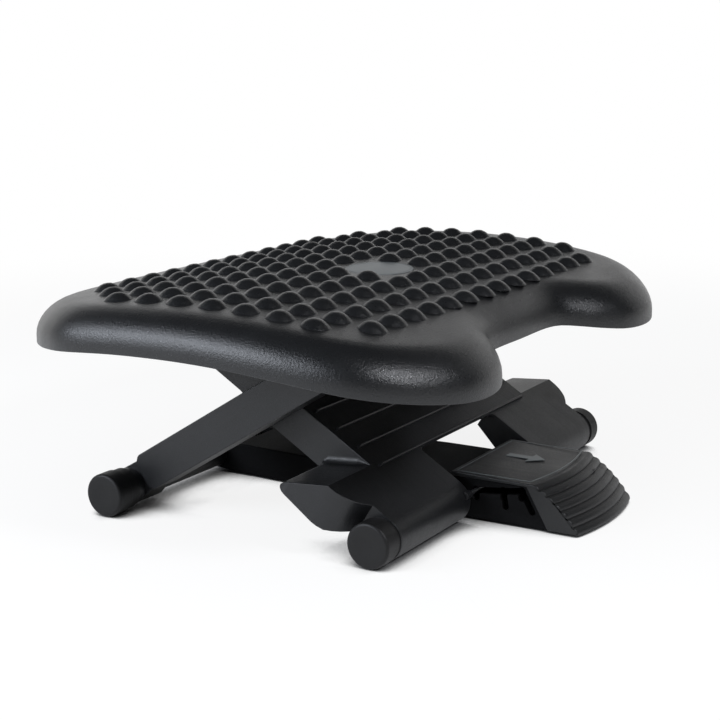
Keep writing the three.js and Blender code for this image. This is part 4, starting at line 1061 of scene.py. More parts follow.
def build_badge():
    """The oval badge: a domed plate with a fine groove inside its edge, and nothing on it"""
    sizes = bpy.context.scene.footrest_platform
    bumps = bpy.context.scene.footrest_bumps
    place = middle("badge_plate")
    slope = (TILT_AXLE.y - place.y) / sizes.crown_front
    lean = Matrix.Translation((0, place.y, crown_height(sizes, place.y))) @ Matrix.Rotation(slope, 4, "X")

    def ring(inset, z):
        a, b = bumps.badge_half_width - inset, bumps.badge_half_depth - inset
        return [lean @ Vector((a * math.cos(t), b * math.sin(t), z)) for t in full_turn(ROUND_FACETS)]

    border, groove, edge = BADGE_BORDER, BADGE_GROOVE, BADGE_EDGE
    cant = edge * BADGE_EDGE_SHARE
    rings = [ring(0, 2 * GAP - BADGE_THICKNESS), ring(0, -edge), ring(cant, -cant), ring(edge, 0),
             ring(border - groove, 0), ring(border, -groove), ring(border + groove, 0)]
    inner = bumps.badge_half_depth - border - groove
    for k in range(1, BADGE_RINGS):
        share = k / BADGE_RINGS
        rings.append(ring(border + groove + inner * share, BADGE_DOME * (1 - (1 - share) ** 2)))
    body = skin(rings, lean @ Vector((0, 0, 2 * GAP - BADGE_THICKNESS)), lean @ Vector((0, 0, BADGE_DOME)))
    finish_piece(body, "badge_oval", "platform", "badge_plastic", ["badge_plate"])


# Stand

SCISSOR_PIN_RADIUS = 0.0034
BOSS_RADIUS = 0.007
UPPER_BOSS_RADIUS = 0.008
COLLAR_RADIUS = 0.0132
SLEEVE_RADIUS = 0.011
BAR_START = 0.017
BAR_NOSE = 0.004
BAR_END_OVERHANG = 0.003
BAR_FOOT_RECESS = 0.004
BAR_RIBS = 3
BAR_FACE_ROUND = 0.0011
HOLLOW_ROUND = 0.002
UPPER_END_ROUND = 0.008
UPPER_TIP_ROUND = 0.006
UPPER_UNDER_ROUND = 0.005
TIE_START = 0.034
TIE_END = 0.06
TIE_DROP = 0.002
WING_SHOULDER = 0.043
WING_REAR_DROP = 0.004
WING_TIP_DROP = 0.0107
WING_TIP_LENGTH = 0.0043
# Corners under a wing, as shares of its length and of the foot's radius
WING_UNDERSIDE = ((0.531, -0.89), (0.424, -0.88), (0.223, -0.47))
WING_UNDERSIDE_ROUND = 0.004
WING_OUTLINE_STEPS = 2
WING_PLAN_STEPS = 5
WING_CORNER_ROUND = 0.026
WING_LIP_ROUND = 0.0056
WING_EDGE_ROUND = 0.0022
WING_MERGE = 0.0013
WING_TIP_ROUND = 0.008
WING_LIP_SINK = 0.001
# Each stretch of the lip: its start and end along the wing, and its size at both
WING_LIP_STRETCHES = ((0.08, 0.3, 0.2, 1.0), (0.3, 1.0, 1.0, 1.0), (1.0, 1.14, 1.0, 0.3))
# Two places on a wing's slanted front edge: up the leg, and out from the end of the sleeve
WING_FRONT_CUT = ((0.0162, 0), (0.03, 0.0225))
SIDE_WALL_START = 0.03
RELIEF_END = 0.048
RELIEF_SKIN = 0.0015
REAR_ARM_BELOW = 0.007
BOSS_LENGTH = 0.007
LUG_RADIUS = 0.0028
PIN_SEAT = 0.0045
SLEEVE_END_ROUND = 0.0012
SIDE_WALL_ROUND = 0.006
REAR_ARM_ROUND = 0.004
CUTOUT_ROUND = 0.004
RIDGE_END_GAP = 0.0045
RIDGE_END_ROUND = 0.0034


def leg_bore(radius, span, place):
    return bar(radius + GAP, span, place, facets=SMALL_FACETS)


def rear_bar(side, leg, sizes):
    """One outer bar: a box open on its inner side, with ribs, bosses and a collar round the foot rod"""
    top_s, top_n = leg.own(HINGE_ROD)
    cross_s, _ = leg.own(CROSSING)
    foot, below, nose = sizes.foot_radius, sizes.bar_below, BAR_NOSE
    bar_outer = BAR_X + sizes.bar_width
    end = top_s + UPPER_BOSS_RADIUS
    outline = leg.corners([
        (BAR_START + nose, -below, nose), (BAR_START, -below + nose, nose), (BAR_START, foot - nose, nose),
        (BAR_START + nose, foot, nose), (top_s - UPPER_BOSS_RADIUS, foot, nose),
        (top_s, top_n + UPPER_BOSS_RADIUS, UPPER_END_ROUND), (end, top_n, UPPER_TIP_ROUND),
        (end - BAR_END_OVERHANG, -below, UPPER_UNDER_ROUND)])
    full = span_on(side, BAR_X, bar_outer)
    body = prism(outline, full, rounding=BAR_FACE_ROUND, chosen=lambda spot: abs(spot.x) > bar_outer - MERGE)
    start, stop = BAR_START + nose + WALL, top_s - UPPER_BOSS_RADIUS - WALL
    hollow = leg.corners([(s, n, HOLLOW_ROUND) for s, n in (
        (start, WALL - below), (start, foot - WALL), (stop, foot - WALL), (stop, WALL - below))])
    cut(body, prism(hollow, span_on(side, BAR_X - OVERRUN, bar_outer - WALL)))
    parts = []
    for i in range(BAR_RIBS):
        s = BAR_START + (i + 1) * (cross_s - BAR_START) / (BAR_RIBS + 1)
        rib = leg.points([(s - WALL / 2, WALL / 2 - below), (s + WALL / 2, WALL / 2 - below),
                          (s + WALL / 2, foot - WALL / 2), (s - WALL / 2, foot - WALL / 2)])
        parts.append(prism(rib, span_on(side, BAR_X, bar_outer - WALL / 2)))
    parts.append(bar(BOSS_RADIUS, span_on(side, BAR_X, bar_outer - WALL / 2), CROSSING))
    parts.append(bar(UPPER_BOSS_RADIUS, full, HINGE_ROD, rounding=EDGE_ROUND))
    foot_piece = leg.points([(0, COLLAR_RADIUS), (0, -COLLAR_RADIUS), (start, WALL - below),
                             (start, foot - WALL)])
    parts.append(prism(foot_piece, span_on(side, BAR_X, bar_outer - BAR_FOOT_RECESS), rounding=EDGE_ROUND,
                       chosen=lambda spot: abs(spot.x) > bar_outer - BAR_FOOT_RECESS - MERGE))
    parts.append(bar(COLLAR_RADIUS, span_on(side, BAR_X - OVERRUN, COLLAR_X), REAR_FOOT, rounding=EDGE_ROUND))
    parts.append(bar(SLEEVE_RADIUS, span_on(side, RAIL_REAR_X + 2 * GAP, BAR_X), REAR_FOOT,
                     rounding=EDGE_ROUND))
    return join(body, *parts)


def build_rear_leg():
    sizes = bpy.context.scene.footrest_stand
    leg = Leg(REAR_FOOT, -1, sizes.lean)
    top = sizes.foot_radius - TIE_DROP
    edge = leg.points([(TIE_START, top - WALL), (TIE_END, top - WALL), (TIE_END, top), (TIE_START, top)])
    plate = prism(edge, (-BAR_X - WALL, BAR_X + WALL), rounding=EDGE_ROUND,
                  chosen=lambda spot: abs(spot.x) < BAR_X)
    body = rear_bar(1, leg, sizes)
    join(body, rear_bar(-1, leg, sizes), plate)
    inner = BAR_X + sizes.bar_width - WALL
    bores = []
    for _, side in SIDES:
        bores.append(leg_bore(ROD_RADIUS, span_on(side, 0, COLLAR_X + OVERRUN), REAR_FOOT))
        bores.append(leg_bore(SCISSOR_PIN_RADIUS, span_on(side, BAR_X - OVERRUN, inner), CROSSING))
        bores.append(leg_bore(HINGE_ROD_RADIUS, span_on(side, BAR_X - OVERRUN, inner), HINGE_ROD))
    cut(body, *bores)
    finish_piece(body, "rear_leg_bars", "rear_leg", "leg_plastic", ["rear_leg_frame"])


def wing(side, leg, sizes):
    """A side wing: its flat top turns down behind, and its front corner is cut off at a slant"""
    foot, length = sizes.foot_radius, sizes.wing_length
    top_end = length - WING_TIP_LENGTH
    outline = leg.corners([
        (foot - WALL, foot, 0), (WING_SHOULDER, foot, 0), (top_end, -WING_REAR_DROP, 0),
        (length, -WING_TIP_DROP, 0),
        *((along * length, below * foot, WING_UNDERSIDE_ROUND) for along, below in WING_UNDERSIDE),
        (foot / 2, foot / 2, 0)], WING_OUTLINE_STEPS)
    inner, outer = PLATE_X - WALL, WING_X
    body = prism(outline, span_on(side, inner, outer))
    (near, x0), (far, x1) = WING_FRONT_CUT
    climb = (far - near) / (x1 - x0)
    first, last = SLEEVE_X + x0 - 3 * OVERRUN, WING_X
    slant = [(first, near - 3 * OVERRUN * climb), (last, near + (WING_X - SLEEVE_X - x0) * climb)]
    plan = rounded([(inner - OVERRUN, 0, 0), (first, 0, 0), (*slant[0], 0), (*slant[1], WING_CORNER_ROUND),
                    (last, length, WING_TIP_ROUND), (inner - OVERRUN, length, 0)], WING_PLAN_STEPS)
    reach = 2 * foot
    trimmer = prism([(side * x, s) for x, s in plan], (-reach, reach), leg.plan)
    combined(body, [trimmer], "INTERSECT")

    def exposed(spot):
        s, n = leg.own(spot)
        return abs(spot.x) > SLEEVE_X - 2 * OVERRUN and s > near - OVERRUN and n > -foot / 2

    soften(body, WING_EDGE_ROUND, exposed, WING_MERGE)
    hollow = leg.points([
        (SIDE_WALL_START - 2 * WALL, foot - WALL), (WING_SHOULDER - WALL / 2, foot - WALL),
        (top_end - WALL, -WING_REAR_DROP - WALL / 2), (top_end - WALL, -foot - OVERRUN),
        (SIDE_WALL_START - 2 * WALL, -foot - OVERRUN)])
    return cut(body, prism(hollow, span_on(side, PLATE_X, WING_X - 3 * WALL)))


def wing_lip(side, leg, sizes):
    """The hollow rounding where a side wall runs out into its wing"""
    start = Vector((WING_SHOULDER, sizes.foot_radius))
    end = Vector((sizes.wing_length - WING_TIP_LENGTH, -WING_REAR_DROP))
    along = (end - start).normalized()
    above = Vector((-along.y, along.x))
    turns = [math.pi / 2 * k / CORNER_STEPS for k in range(CORNER_STEPS + 1)]
    size = WING_LIP_ROUND
    outline = [(size * (1 - math.sin(t)), size * (1 - math.cos(t)) - 2 * GAP) for t in turns]
    outline += [(-WING_LIP_SINK, size - 2 * GAP), (-WING_LIP_SINK, -WING_LIP_SINK), (size, -WING_LIP_SINK)]

    def stretch(low, high, low_size, high_size):
        def place(out, rise, share):
            scale = low_size + (high_size - low_size) * (share - low) / (high - low)
            spot = start.lerp(end, share) + above * rise * scale
            return leg.plan(side * (PLATE_X + out * scale), spot.x, spot.y)
        return prism(outline, (low, high), place)

    first, *others = [stretch(*ends) for ends in WING_LIP_STRETCHES]
    return join(first, *others)


def front_arm(side, leg, sizes):
    """A sleeve round the foot rod with a web at each end and a lug for the latch pin"""
    foot = sizes.foot_radius
    sleeve = bar(foot, span_on(side, ARM_X, SLEEVE_X), FRONT_FOOT, rounding=SLEEVE_END_ROUND)
    web = leg.points([(0, foot - WALL), (WING_SHOULDER, foot - WALL), (WING_SHOULDER, 0), (foot, -foot / 2)])
    return join(
        sleeve,
        prism(web, span_on(side, ARM_X, ARM_X + WALL)),
        prism(web, span_on(side, SLEEVE_X - WALL, SLEEVE_X)),
        bar(LUG_RADIUS, span_on(side, ARM_X, ARM_X + PIN_SEAT + WALL), LATCH_PIN, rounding=EDGE_ROUND / 2,
            facets=SMALL_FACETS))


def plate_side(side, leg, sizes):
    """The plate's side wall, which runs on as the rear arm to the slide rod"""
    top_s, top_n = leg.own(SLIDE_ROD)
    foot, below, end = sizes.foot_radius, sizes.plate_below, top_s + UPPER_BOSS_RADIUS
    outline = leg.corners([
        (SIDE_WALL_START, -below, 0), (SIDE_WALL_START, foot, 0),
        (top_s - UPPER_BOSS_RADIUS, foot, SIDE_WALL_ROUND),
        (top_s, top_n + UPPER_BOSS_RADIUS, UPPER_END_ROUND), (end, top_n, UPPER_TIP_ROUND),
        (end - WALL, -REAR_ARM_BELOW, REAR_ARM_ROUND),
        (sizes.plate_end + below, -REAR_ARM_BELOW, SIDE_WALL_ROUND),
        (sizes.plate_end - below, -below, SIDE_WALL_ROUND)])
    wall = prism(outline, span_on(side, PLATE_X - WALL, PLATE_X), rounding=EDGE_ROUND,
                 chosen=lambda spot: abs(spot.x) > PLATE_X - MERGE)
    span = span_on(side, PLATE_X - BOSS_LENGTH, PLATE_X)
    return join(wall, bar(BOSS_RADIUS, span, CROSSING),
                bar(UPPER_BOSS_RADIUS, span, SLIDE_ROD, rounding=EDGE_ROUND))


def build_front_leg():
    sizes = bpy.context.scene.footrest_stand
    leg = Leg(FRONT_FOOT, 1, sizes.lean)
    foot = sizes.foot_radius
    start, end, inner = sizes.plate_start, sizes.plate_end, PLATE_X - EDGE_ROUND - MERGE
    half = [(ARM_X, 0, 0), (SLEEVE_X, 0, 0), (SLEEVE_X, WING_SHOULDER - MERGE, 0),
            (inner, WING_SHOULDER - MERGE, 0), (inner, end, 0)]
    plan = rounded([(ARM_X, start, CUTOUT_ROUND), *half, *((-x, s, r) for x, s, r in reversed(half)),
                    (-ARM_X, start, CUTOUT_ROUND)])

    def exposed(spot):
        s, n = leg.own(spot)
        along_cutout = abs(spot.x) < ARM_X + MERGE or (abs(s - start) < OVERRUN and abs(spot.x) < ARM_X)
        return n > foot - MERGE and s > MERGE and (along_cutout or s > end - MERGE)

    body = prism(plan, (foot - WALL, foot), leg.plan, rounding=EDGE_ROUND, chosen=exposed)
    for _, side in SIDES:
        join(body, front_arm(side, leg, sizes), wing(side, leg, sizes), plate_side(side, leg, sizes),
             wing_lip(side, leg, sizes))
    relief = leg.points([(start - OVERRUN, foot - WALL - OVERRUN), (RELIEF_END, foot - WALL - OVERRUN),
                         (RELIEF_END, foot - RELIEF_SKIN), (start - OVERRUN, foot - RELIEF_SKIN)])
    cutters = [prism(relief, (-COVER_X - WALL, COVER_X + WALL))]
    for _, side in SIDES:
        boss_span = span_on(side, PLATE_X - BOSS_LENGTH - OVERRUN, PLATE_X + OVERRUN)
        cutters.append(leg_bore(ROD_RADIUS, span_on(side, ARM_X + WALL, SLEEVE_X + OVERRUN), FRONT_FOOT))
        cutters.append(leg_bore(SCISSOR_PIN_RADIUS, boss_span, CROSSING))
        cutters.append(leg_bore(SLIDE_ROD_RADIUS, boss_span, SLIDE_ROD))
        cutters.append(leg_bore(LATCH_PIN_RADIUS, span_on(side, ARM_X - OVERRUN, ARM_X + PIN_SEAT + GAP),
                                LATCH_PIN))
    cut(body, *cutters)
    finish_piece(body, "front_leg_plate", "front_leg", "leg_plastic", ["front_leg_frame"])


def build_ridges():
    sizes = bpy.context.scene.footrest_stand
    leg = Leg(FRONT_FOOT, 1, sizes.lean)
    places = [(0, *leg.point(sizes.ridge_start + i * sizes.ridge_pitch, sizes.foot_radius))
              for i in range(sizes.ridge_count)]
    made = grown("leg_ridges", places, ridge_tree(), {
        "Half Length": PLATE_X - RIDGE_END_GAP, "Height": sizes.ridge_height,
        "Thickness": sizes.ridge_thickness, "End Round": RIDGE_END_ROUND, "Lean": sizes.lean,
        "Material": finish_for("leg_plastic")})
    finish_piece(made, "leg_ridges", "front_leg", "leg_plastic")


# Feet, rods and pins

CAP_LENGTH = 0.0137
CAP_RIM = 0.0022
CAP_INNER_ROUND = 0.0008
CAP_NECK_RADIUS = 0.0145
CAP_FLOOR = 0.008
CAP_DISH = 0.0004
# The dished middle of a cap's end face: where its slope starts and stops, as shares of the radius
CAP_DISH_SHARES = (0.6, 0.45)
CAP_FACETS = 96


def foot_cap(side, place, neck, foot):
    """A rubber cap: a rim rounded at both ends, a plain end face and a neck round the rod"""
    inner, bore = CAP_X - CAP_LENGTH, ROD_RADIUS + GAP
    dish_outer, dish_inner = (share * foot for share in CAP_DISH_SHARES)
    rim = rounded([
        (inner, CAP_NECK_RADIUS, 0), (inner, foot, CAP_INNER_ROUND), (CAP_X, foot, CAP_RIM),
        (CAP_X, dish_outer, 0), (CAP_X - CAP_DISH, dish_inner, 0), (inner, dish_inner, 0)])[:-1]
    profile = [(neck, bore), (neck, CAP_NECK_RADIUS), *rim, (CAP_X - CAP_DISH, 0),
               (CAP_X - CAP_FLOOR, 0), (CAP_X - CAP_FLOOR, bore)]
    return turned(profile, place, side, CAP_FACETS, closed=True)


def build_caps():
    foot = bpy.context.scene.footrest_stand.foot_radius
    for word, side in SIDES:
        for end, place, body in (("rear", REAR_FOOT, "rear_foot"), ("front", FRONT_FOOT, "front_leg")):
            node = f"{end}_foot_cap_{word}"
            neck = inner_x(f"{end}_foot_cap_right")
            finish_piece(foot_cap(side, place, neck, foot), f"{node}_turned", body, "foot_rubber", [node])


ROD_NODES = (
    ("rear_foot_rod", "rear_foot"), ("front_foot_rod_left", "front_leg"),
    ("front_foot_rod_right", "front_leg"), ("upper_hinge_rod", "rear_leg"), ("slide_rod", "front_leg"),
    ("latch_pin", "front_leg"), ("tilt_axle", "platform"),
)
PIN_HEAD_ROUND = 0.0008
PIN_HEAD_UNDER_ROUND = 0.0002
PIN_END_ROUND = 0.0005


def build_rods():
    for node, body in ROD_NODES:
        span = (inner_x(node), outer_x(node))
        rod = bar(radius_of(node), span, middle(node), rounding=EDGE_ROUND / 2)
        finish_piece(rod, f"{node}_turned", body, "bright_steel", [node])
    start, end = inner_x("scissor_pin_right"), outer_x("scissor_pin_right")
    head = radius_of("scissor_pin_right")
    profile = rounded([(start, 0, 0), (start, head, PIN_HEAD_ROUND),
                       (start + WALL, head, PIN_HEAD_UNDER_ROUND), (start + WALL, SCISSOR_PIN_RADIUS, 0),
                       (end, SCISSOR_PIN_RADIUS, PIN_END_ROUND), (end, 0, 0)])
    for word, side in SIDES:
        node = f"scissor_pin_{word}"
        pin = turned(profile, middle(node), side)
        finish_piece(pin, f"{node}_turned", "rear_leg", "bright_steel", [node])


RING_NODES = (
    ("scissor_bush", "rear_leg", SCISSOR_PIN_RADIUS, "nylon"),
    ("slide_roller", "front_leg", SLIDE_ROD_RADIUS, "nylon"),
    ("upper_rod_clip", "rear_leg", HINGE_ROD_RADIUS, "black_steel"),
)
TILT_BUSH_RADIUS = 0.0064
TILT_BUSH_FLANGE = 0.0012
TILT_BUSH_ROUND = 0.0003
TILT_BUSH_BORE_ROUND = 0.0002


def build_rings():
    """Bushes, rollers and clips round the rods"""
    for word, side in SIDES:
        for stem, body, radius, slot in RING_NODES:
            node = f"{stem}_{word}"
            span = (inner_x(node), outer_x(node))
            made = tube(radius_of(node), radius + GAP, span, middle(node), rounding=EDGE_ROUND / 2)
            finish_piece(made, f"{node}_turned", body, slot, [node])
        node = f"tilt_bush_{word}"
        start, end = inner_x("tilt_bush_right"), outer_x("tilt_bush_right")
        bore, flange = AXLE_RADIUS + GAP, radius_of("tilt_bush_right")
        profile = rounded([(start, bore, TILT_BUSH_BORE_ROUND), (start, TILT_BUSH_RADIUS, TILT_BUSH_ROUND),
                           (end - TILT_BUSH_FLANGE, TILT_BUSH_RADIUS, 0),
                           (end - TILT_BUSH_FLANGE, flange, TILT_BUSH_ROUND), (end, flange, TILT_BUSH_ROUND),
                           (end, bore, TILT_BUSH_BORE_ROUND)], EDGE_STEPS)
        made = turned(profile, middle(node), side, closed=True)
        finish_piece(made, f"{node}_turned", "carriage", "nylon", [node])


# Pedal

RAIL_REAR_X = 0.038
RAIL_TOP_ROUND = 0.0012
# Where the rail starts and stops narrowing, in Y
RAIL_TAPER = (-0.0476, 0.0724)
RAIL_STEP = 0.0065
RAIL_TOP_AHEAD = 0.052
RAIL_FOOT_AHEAD = 0.068
RAIL_RING_RADIUS = 0.012
RAIL_BLOCK_LENGTH = 0.02
RAIL_WEB_THICKNESS = 0.0025
RAIL_WEB_LENGTH = 0.016
# Ends of each web under the rail, as shares of the way from the front foot to the rear foot
RAIL_WEB_SHARES = ((-0.199, 0.26), (0.774, 0.774))
TONGUE_HALF_WIDTH = 0.04
TONGUE_RISE = 0.0023
TONGUE_AHEAD = (0.0745, 0.0525)
SPRING_WINDOW = 0.0125
TRACK_HALF_WIDTH = 0.0024
TRACK_STEPS = 8
HOOK_HALF_WIDTH = 0.0029
HOOK_SEAT = 0.0046
HOOK_TIP_RADIUS = 0.0024
# How far each hook's tip is ahead of and below the latch pin's place, from the highest height down
HOOK_TIPS = ((0.0, 0.0046), (0.0016, 0.0108), (0.0078, 0.0136))
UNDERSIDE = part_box("pedal_rail")[0].z
COVER_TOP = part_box("pedal_cover")[1].z
COVER_REAR_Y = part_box("pedal_cover")[1].y
COVER_BOSS_X = 0.024
COVER_BOSS_AHEAD = 0.0685
COVER_BOSS_RADIUS = 0.004
TREAD_START_AHEAD = 0.0565
# Where the tread's curve is drawn to, ahead of the front foot and below the cover's top
TREAD_CONTROL = (0.078, 0.0105)
TREAD_FOOT_AHEAD = 0.0918
TREAD_STATIONS = 28
TREAD_SAMPLES = 10
TREAD_SIDE_ROUND = 0.0006
TREAD_CREST_POWER = 0.8
COVER_REAR_ROUND = 0.0008
COVER_SHARP_ANGLE = math.radians(48)


def latch_pin_at(fold):
    """Where the latch pin lies when each leg has folded by an angle"""
    reach = CROSSING - REAR_FOOT
    length, climb = math.hypot(reach.y, reach.z), math.atan2(reach.z, -reach.y)
    y = REAR_FOOT.y - 2 * length * math.cos(climb - fold)
    own = LATCH_PIN - FRONT_FOOT
    return Vector((y + own.y * math.cos(fold) + own.z * math.sin(fold),
                   FRONT_FOOT.z + own.z * math.cos(fold) - own.y * math.sin(fold)))


def slot_outline(start, end, radius):
    """A straight slot from one place to another with round ends"""
    heading = math.atan2(end.y - start.y, end.x - start.x)
    outline = []
    for centre, first in ((end, heading - math.pi / 2), (start, heading + math.pi / 2)):
        turns = [first + math.pi * k / CORNER_STEPS / 2 for k in range(2 * CORNER_STEPS + 1)]
        outline += [(centre.x + radius * math.cos(t), centre.y + radius * math.sin(t)) for t in turns]
    return outline


def rail_plan(inset):
    front, rear = RAIL_X - inset, RAIL_REAR_X - inset
    low, high = FRONT_FOOT.y - RAIL_FOOT_AHEAD - 2 * OVERRUN, REAR_FOOT.y + RAIL_RING_RADIUS + OVERRUN
    half = [(front, low), (front, RAIL_TAPER[0]), (rear, RAIL_TAPER[1]), (rear, high)]
    return half + [(-x, y) for x, y in reversed(half)]


def build_rail():
    sizes = bpy.context.scene.footrest_pedal
    block_start = REAR_FOOT.y - RAIL_BLOCK_LENGTH
    step = FRONT_FOOT.y + RAIL_STEP
    foot_y, top_y = FRONT_FOOT.y - RAIL_FOOT_AHEAD, FRONT_FOOT.y - RAIL_TOP_AHEAD
    deck, front = sizes.deck_height, sizes.front_height
    wall = sizes.rail_wall
    full, across_all = (-RAIL_X, RAIL_X), (-RAIL_X - OVERRUN, RAIL_X + OVERRUN)
    tall = (-OVERRUN, front + OVERRUN)
    outline = [(foot_y, UNDERSIDE), (block_start, UNDERSIDE), (REAR_FOOT.y, REAR_FOOT.z - RAIL_RING_RADIUS),
               (REAR_FOOT.y, REAR_FOOT.z + RAIL_RING_RADIUS), (block_start, deck), (step, deck),
               (step, front), (top_y, front)]
    body = prism(outline, full)
    combined(body, [prism(rail_plan(0), tall, upward)], "INTERSECT")
    soften(body, RAIL_TOP_ROUND, lambda spot: spot.z > deck - MERGE)
    ring = bar(RAIL_RING_RADIUS, (-RAIL_REAR_X, RAIL_REAR_X), REAR_FOOT, rounding=EDGE_ROUND)
    join(body, ring)
    room = rail_plan(wall)
    deck_room = prism(room, tall, upward)
    combined(deck_room, [block(full, (step - wall - OVERRUN, block_start - wall), (-OVERRUN, deck - wall))],
             "INTERSECT")
    front_room = prism(room, tall, upward)
    combined(front_room, [block(full, (foot_y - OVERRUN, step - wall), tall)], "INTERSECT")
    cut(body, deck_room, front_room)
    plan = rail_plan(wall / 2)
    webs = []
    for shares in RAIL_WEB_SHARES:
        low, high = (FRONT_FOOT.y + share * (REAR_FOOT.y - FRONT_FOOT.y) for share in shares)
        web = block(full, (low - RAIL_WEB_LENGTH / 2, high + RAIL_WEB_LENGTH / 2),
                    (UNDERSIDE, UNDERSIDE + RAIL_WEB_THICKNESS))
        webs.append(combined(web, [prism(plan, tall, upward)], "INTERSECT"))
    tongue = block((-TONGUE_HALF_WIDTH, TONGUE_HALF_WIDTH),
                   (FRONT_FOOT.y - TONGUE_AHEAD[0], FRONT_FOOT.y - TONGUE_AHEAD[1] + RAIL_WEB_LENGTH / 2),
                   (UNDERSIDE + TONGUE_RISE, UNDERSIDE + TONGUE_RISE + RAIL_WEB_THICKNESS))
    join(body, *webs, tongue)
    folds = [sizes.fold_range * i / TRACK_STEPS for i in range(TRACK_STEPS + 1)]
    cutters = [prism(slot_outline(latch_pin_at(a), latch_pin_at(b), TRACK_HALF_WIDTH), across_all)
               for a, b in zip(folds, folds[1:])]
    for i, tip in enumerate(HOOK_TIPS):
        place = latch_pin_at(sizes.fold_range * i / (len(HOOK_TIPS) - 1))
        seat = slot_outline(place, place - Vector((0, HOOK_SEAT)), HOOK_HALF_WIDTH)
        slant = slot_outline(place, place - Vector(tip), HOOK_TIP_RADIUS)
        cutters += [prism(seat, across_all), prism(slant, across_all)]
    boss_y = FRONT_FOOT.y - COVER_BOSS_AHEAD
    cutters += [upright(SCREW_RADIUS + GAP, (-OVERRUN, UNDERSIDE + TONGUE_RISE + OVERRUN), x, boss_y)
                for x in (COVER_BOSS_X, -COVER_BOSS_X)]
    cutters.append(bar(ROD_RADIUS + GAP, across_all, REAR_FOOT))
    cutters.append(block((-SPRING_WINDOW, SPRING_WINDOW),
                         (block_start, REAR_FOOT.y + RAIL_RING_RADIUS + OVERRUN), tall))
    cut(body, *cutters)
    finish_piece(body, "pedal_rail_channel", "pedal", "rail_plastic", ["pedal_rail"])


def tread_point(share, inset):
    """A point on the tread's side line, moved in square to it"""
    start = Vector((FRONT_FOOT.y - TREAD_START_AHEAD, COVER_TOP))
    control = Vector((FRONT_FOOT.y - TREAD_CONTROL[0], COVER_TOP - TREAD_CONTROL[1]))
    end = Vector((FRONT_FOOT.y - TREAD_FOOT_AHEAD, UNDERSIDE))
    a, b = start.lerp(control, share), control.lerp(end, share)
    along = (b - a).normalized()
    return a.lerp(b, share) + inset * Vector((-along.y, along.x))


def bowed(outline, half_width, rounding=0):
    """A solid swept across from (y, z, bow) points; each point moves ahead by its bow at the middle"""
    flat = [Vector((y, z)) for y, z, _ in outline]
    area = sum(a.x * b.y - b.x * a.y for a, b in zip(flat, flat[1:] + flat[:1]))
    if area < 0:
        outline, flat = outline[::-1], flat[::-1]
    stations = []
    if rounding:
        for k in range(EDGE_STEPS + 2):
            turn = math.pi / 2 * k / (EDGE_STEPS + 1)
            stations.append((rounding * (math.cos(turn) - 1) + half_width, rounding * (1 - math.sin(turn))))
    else:
        stations.append((half_width, 0))
    inner = half_width - rounding
    line = [(-x, inset) for x, inset in stations]
    line += [(inner * (2 * k / TREAD_STATIONS - 1), 0) for k in range(1, TREAD_STATIONS)]
    line += stations[::-1]
    bm = bmesh.new()
    rings = []
    for x, inset in line:
        share = 1 - (x / half_width) ** 2
        moved = moved_in(flat, inset)
        rings.append([bm.verts.new((x, p.x - bow * share, p.y)) for p, (_, _, bow) in zip(moved, outline)])
    ends = [bm.faces.new(rings[0]), bm.faces.new(rings[-1])]
    bmesh.ops.triangulate(bm, faces=ends, ngon_method="EAR_CLIP")
    for first, second in zip(rings, rings[1:]):
        for i in range(len(first)):
            j = (i + 1) % len(first)
            bm.faces.new((first[i], first[j], second[j], second[i]))
    return from_bmesh("bowed", bm)


def build_cover():
    sizes = bpy.context.scene.footrest_pedal
    thickness, bow = sizes.cover_thickness, sizes.tread_bow
    underside = COVER_TOP - thickness
    seam = 2 * GAP
    top_y, foot_y = FRONT_FOOT.y - RAIL_TOP_AHEAD - seam, FRONT_FOOT.y - RAIL_FOOT_AHEAD - seam
    steps = sizes.tread_steps * TREAD_SAMPLES
    edge = []
    for i in range(steps + 1):
        share = i / steps
        crest = abs(math.sin(math.pi * sizes.tread_steps * share)) ** TREAD_CREST_POWER
        point = tread_point(share, sizes.tread_depth * (1 - crest))
        edge.append((point.x, max(point.y, UNDERSIDE), bow))
    outline = [(COVER_REAR_Y, COVER_TOP - COVER_REAR_ROUND, 0), (COVER_REAR_Y, underside, 0),
               (top_y, underside, 0), (foot_y, UNDERSIDE, 0), *reversed(edge),
               (COVER_REAR_Y - COVER_REAR_ROUND, COVER_TOP, 0)]
    body = bowed(outline, COVER_X, TREAD_SIDE_ROUND)
    inner = [tread_point(i / steps, WALL + sizes.tread_depth) for i in range(0, steps + 1, TREAD_SAMPLES)]
    low, ceiling = -OVERRUN, underside - GAP
    back = FRONT_FOOT.y - TONGUE_AHEAD[1] + OVERRUN
    hollow = [(back, ceiling, 0), (back, low, 0), (inner[-1].x, low, bow),
              *((p.x, p.y, bow) for p in reversed(inner) if low < p.y < ceiling),
              (FRONT_FOOT.y - TREAD_START_AHEAD, ceiling, 0)]
    cut(body, bowed(hollow, RAIL_X - sizes.rail_wall))
    boss_y = FRONT_FOOT.y - COVER_BOSS_AHEAD
    boss_floor = UNDERSIDE + TONGUE_RISE + RAIL_WEB_THICKNESS + GAP
    for x in (COVER_BOSS_X, -COVER_BOSS_X):
        join(body, upright(COVER_BOSS_RADIUS, (boss_floor, underside - WALL), x, boss_y))
        cut(body, upright(SCREW_RADIUS + GAP, (low, UNDERSIDE + TONGUE_RISE + SCREW_LENGTH), x, boss_y))
    finish_piece(body, "pedal_tread_cover", "pedal", "pedal_plastic", ["pedal_cover"],
                 sharp=COVER_SHARP_ANGLE)


PRINT_INSET = 0.0032
PRINT_WIDTH = 0.0007
PRINT_RISE = 0.00012
PRINT_STEPS = 24
# Right half of a plain arrow in X and Y about its own middle, pointing to the tread
ARROW_HALF = ((0.0095, -0.004), (0.0035, -0.004), (0.0035, 0.014))
ARROW_TIP = (0, -0.015)
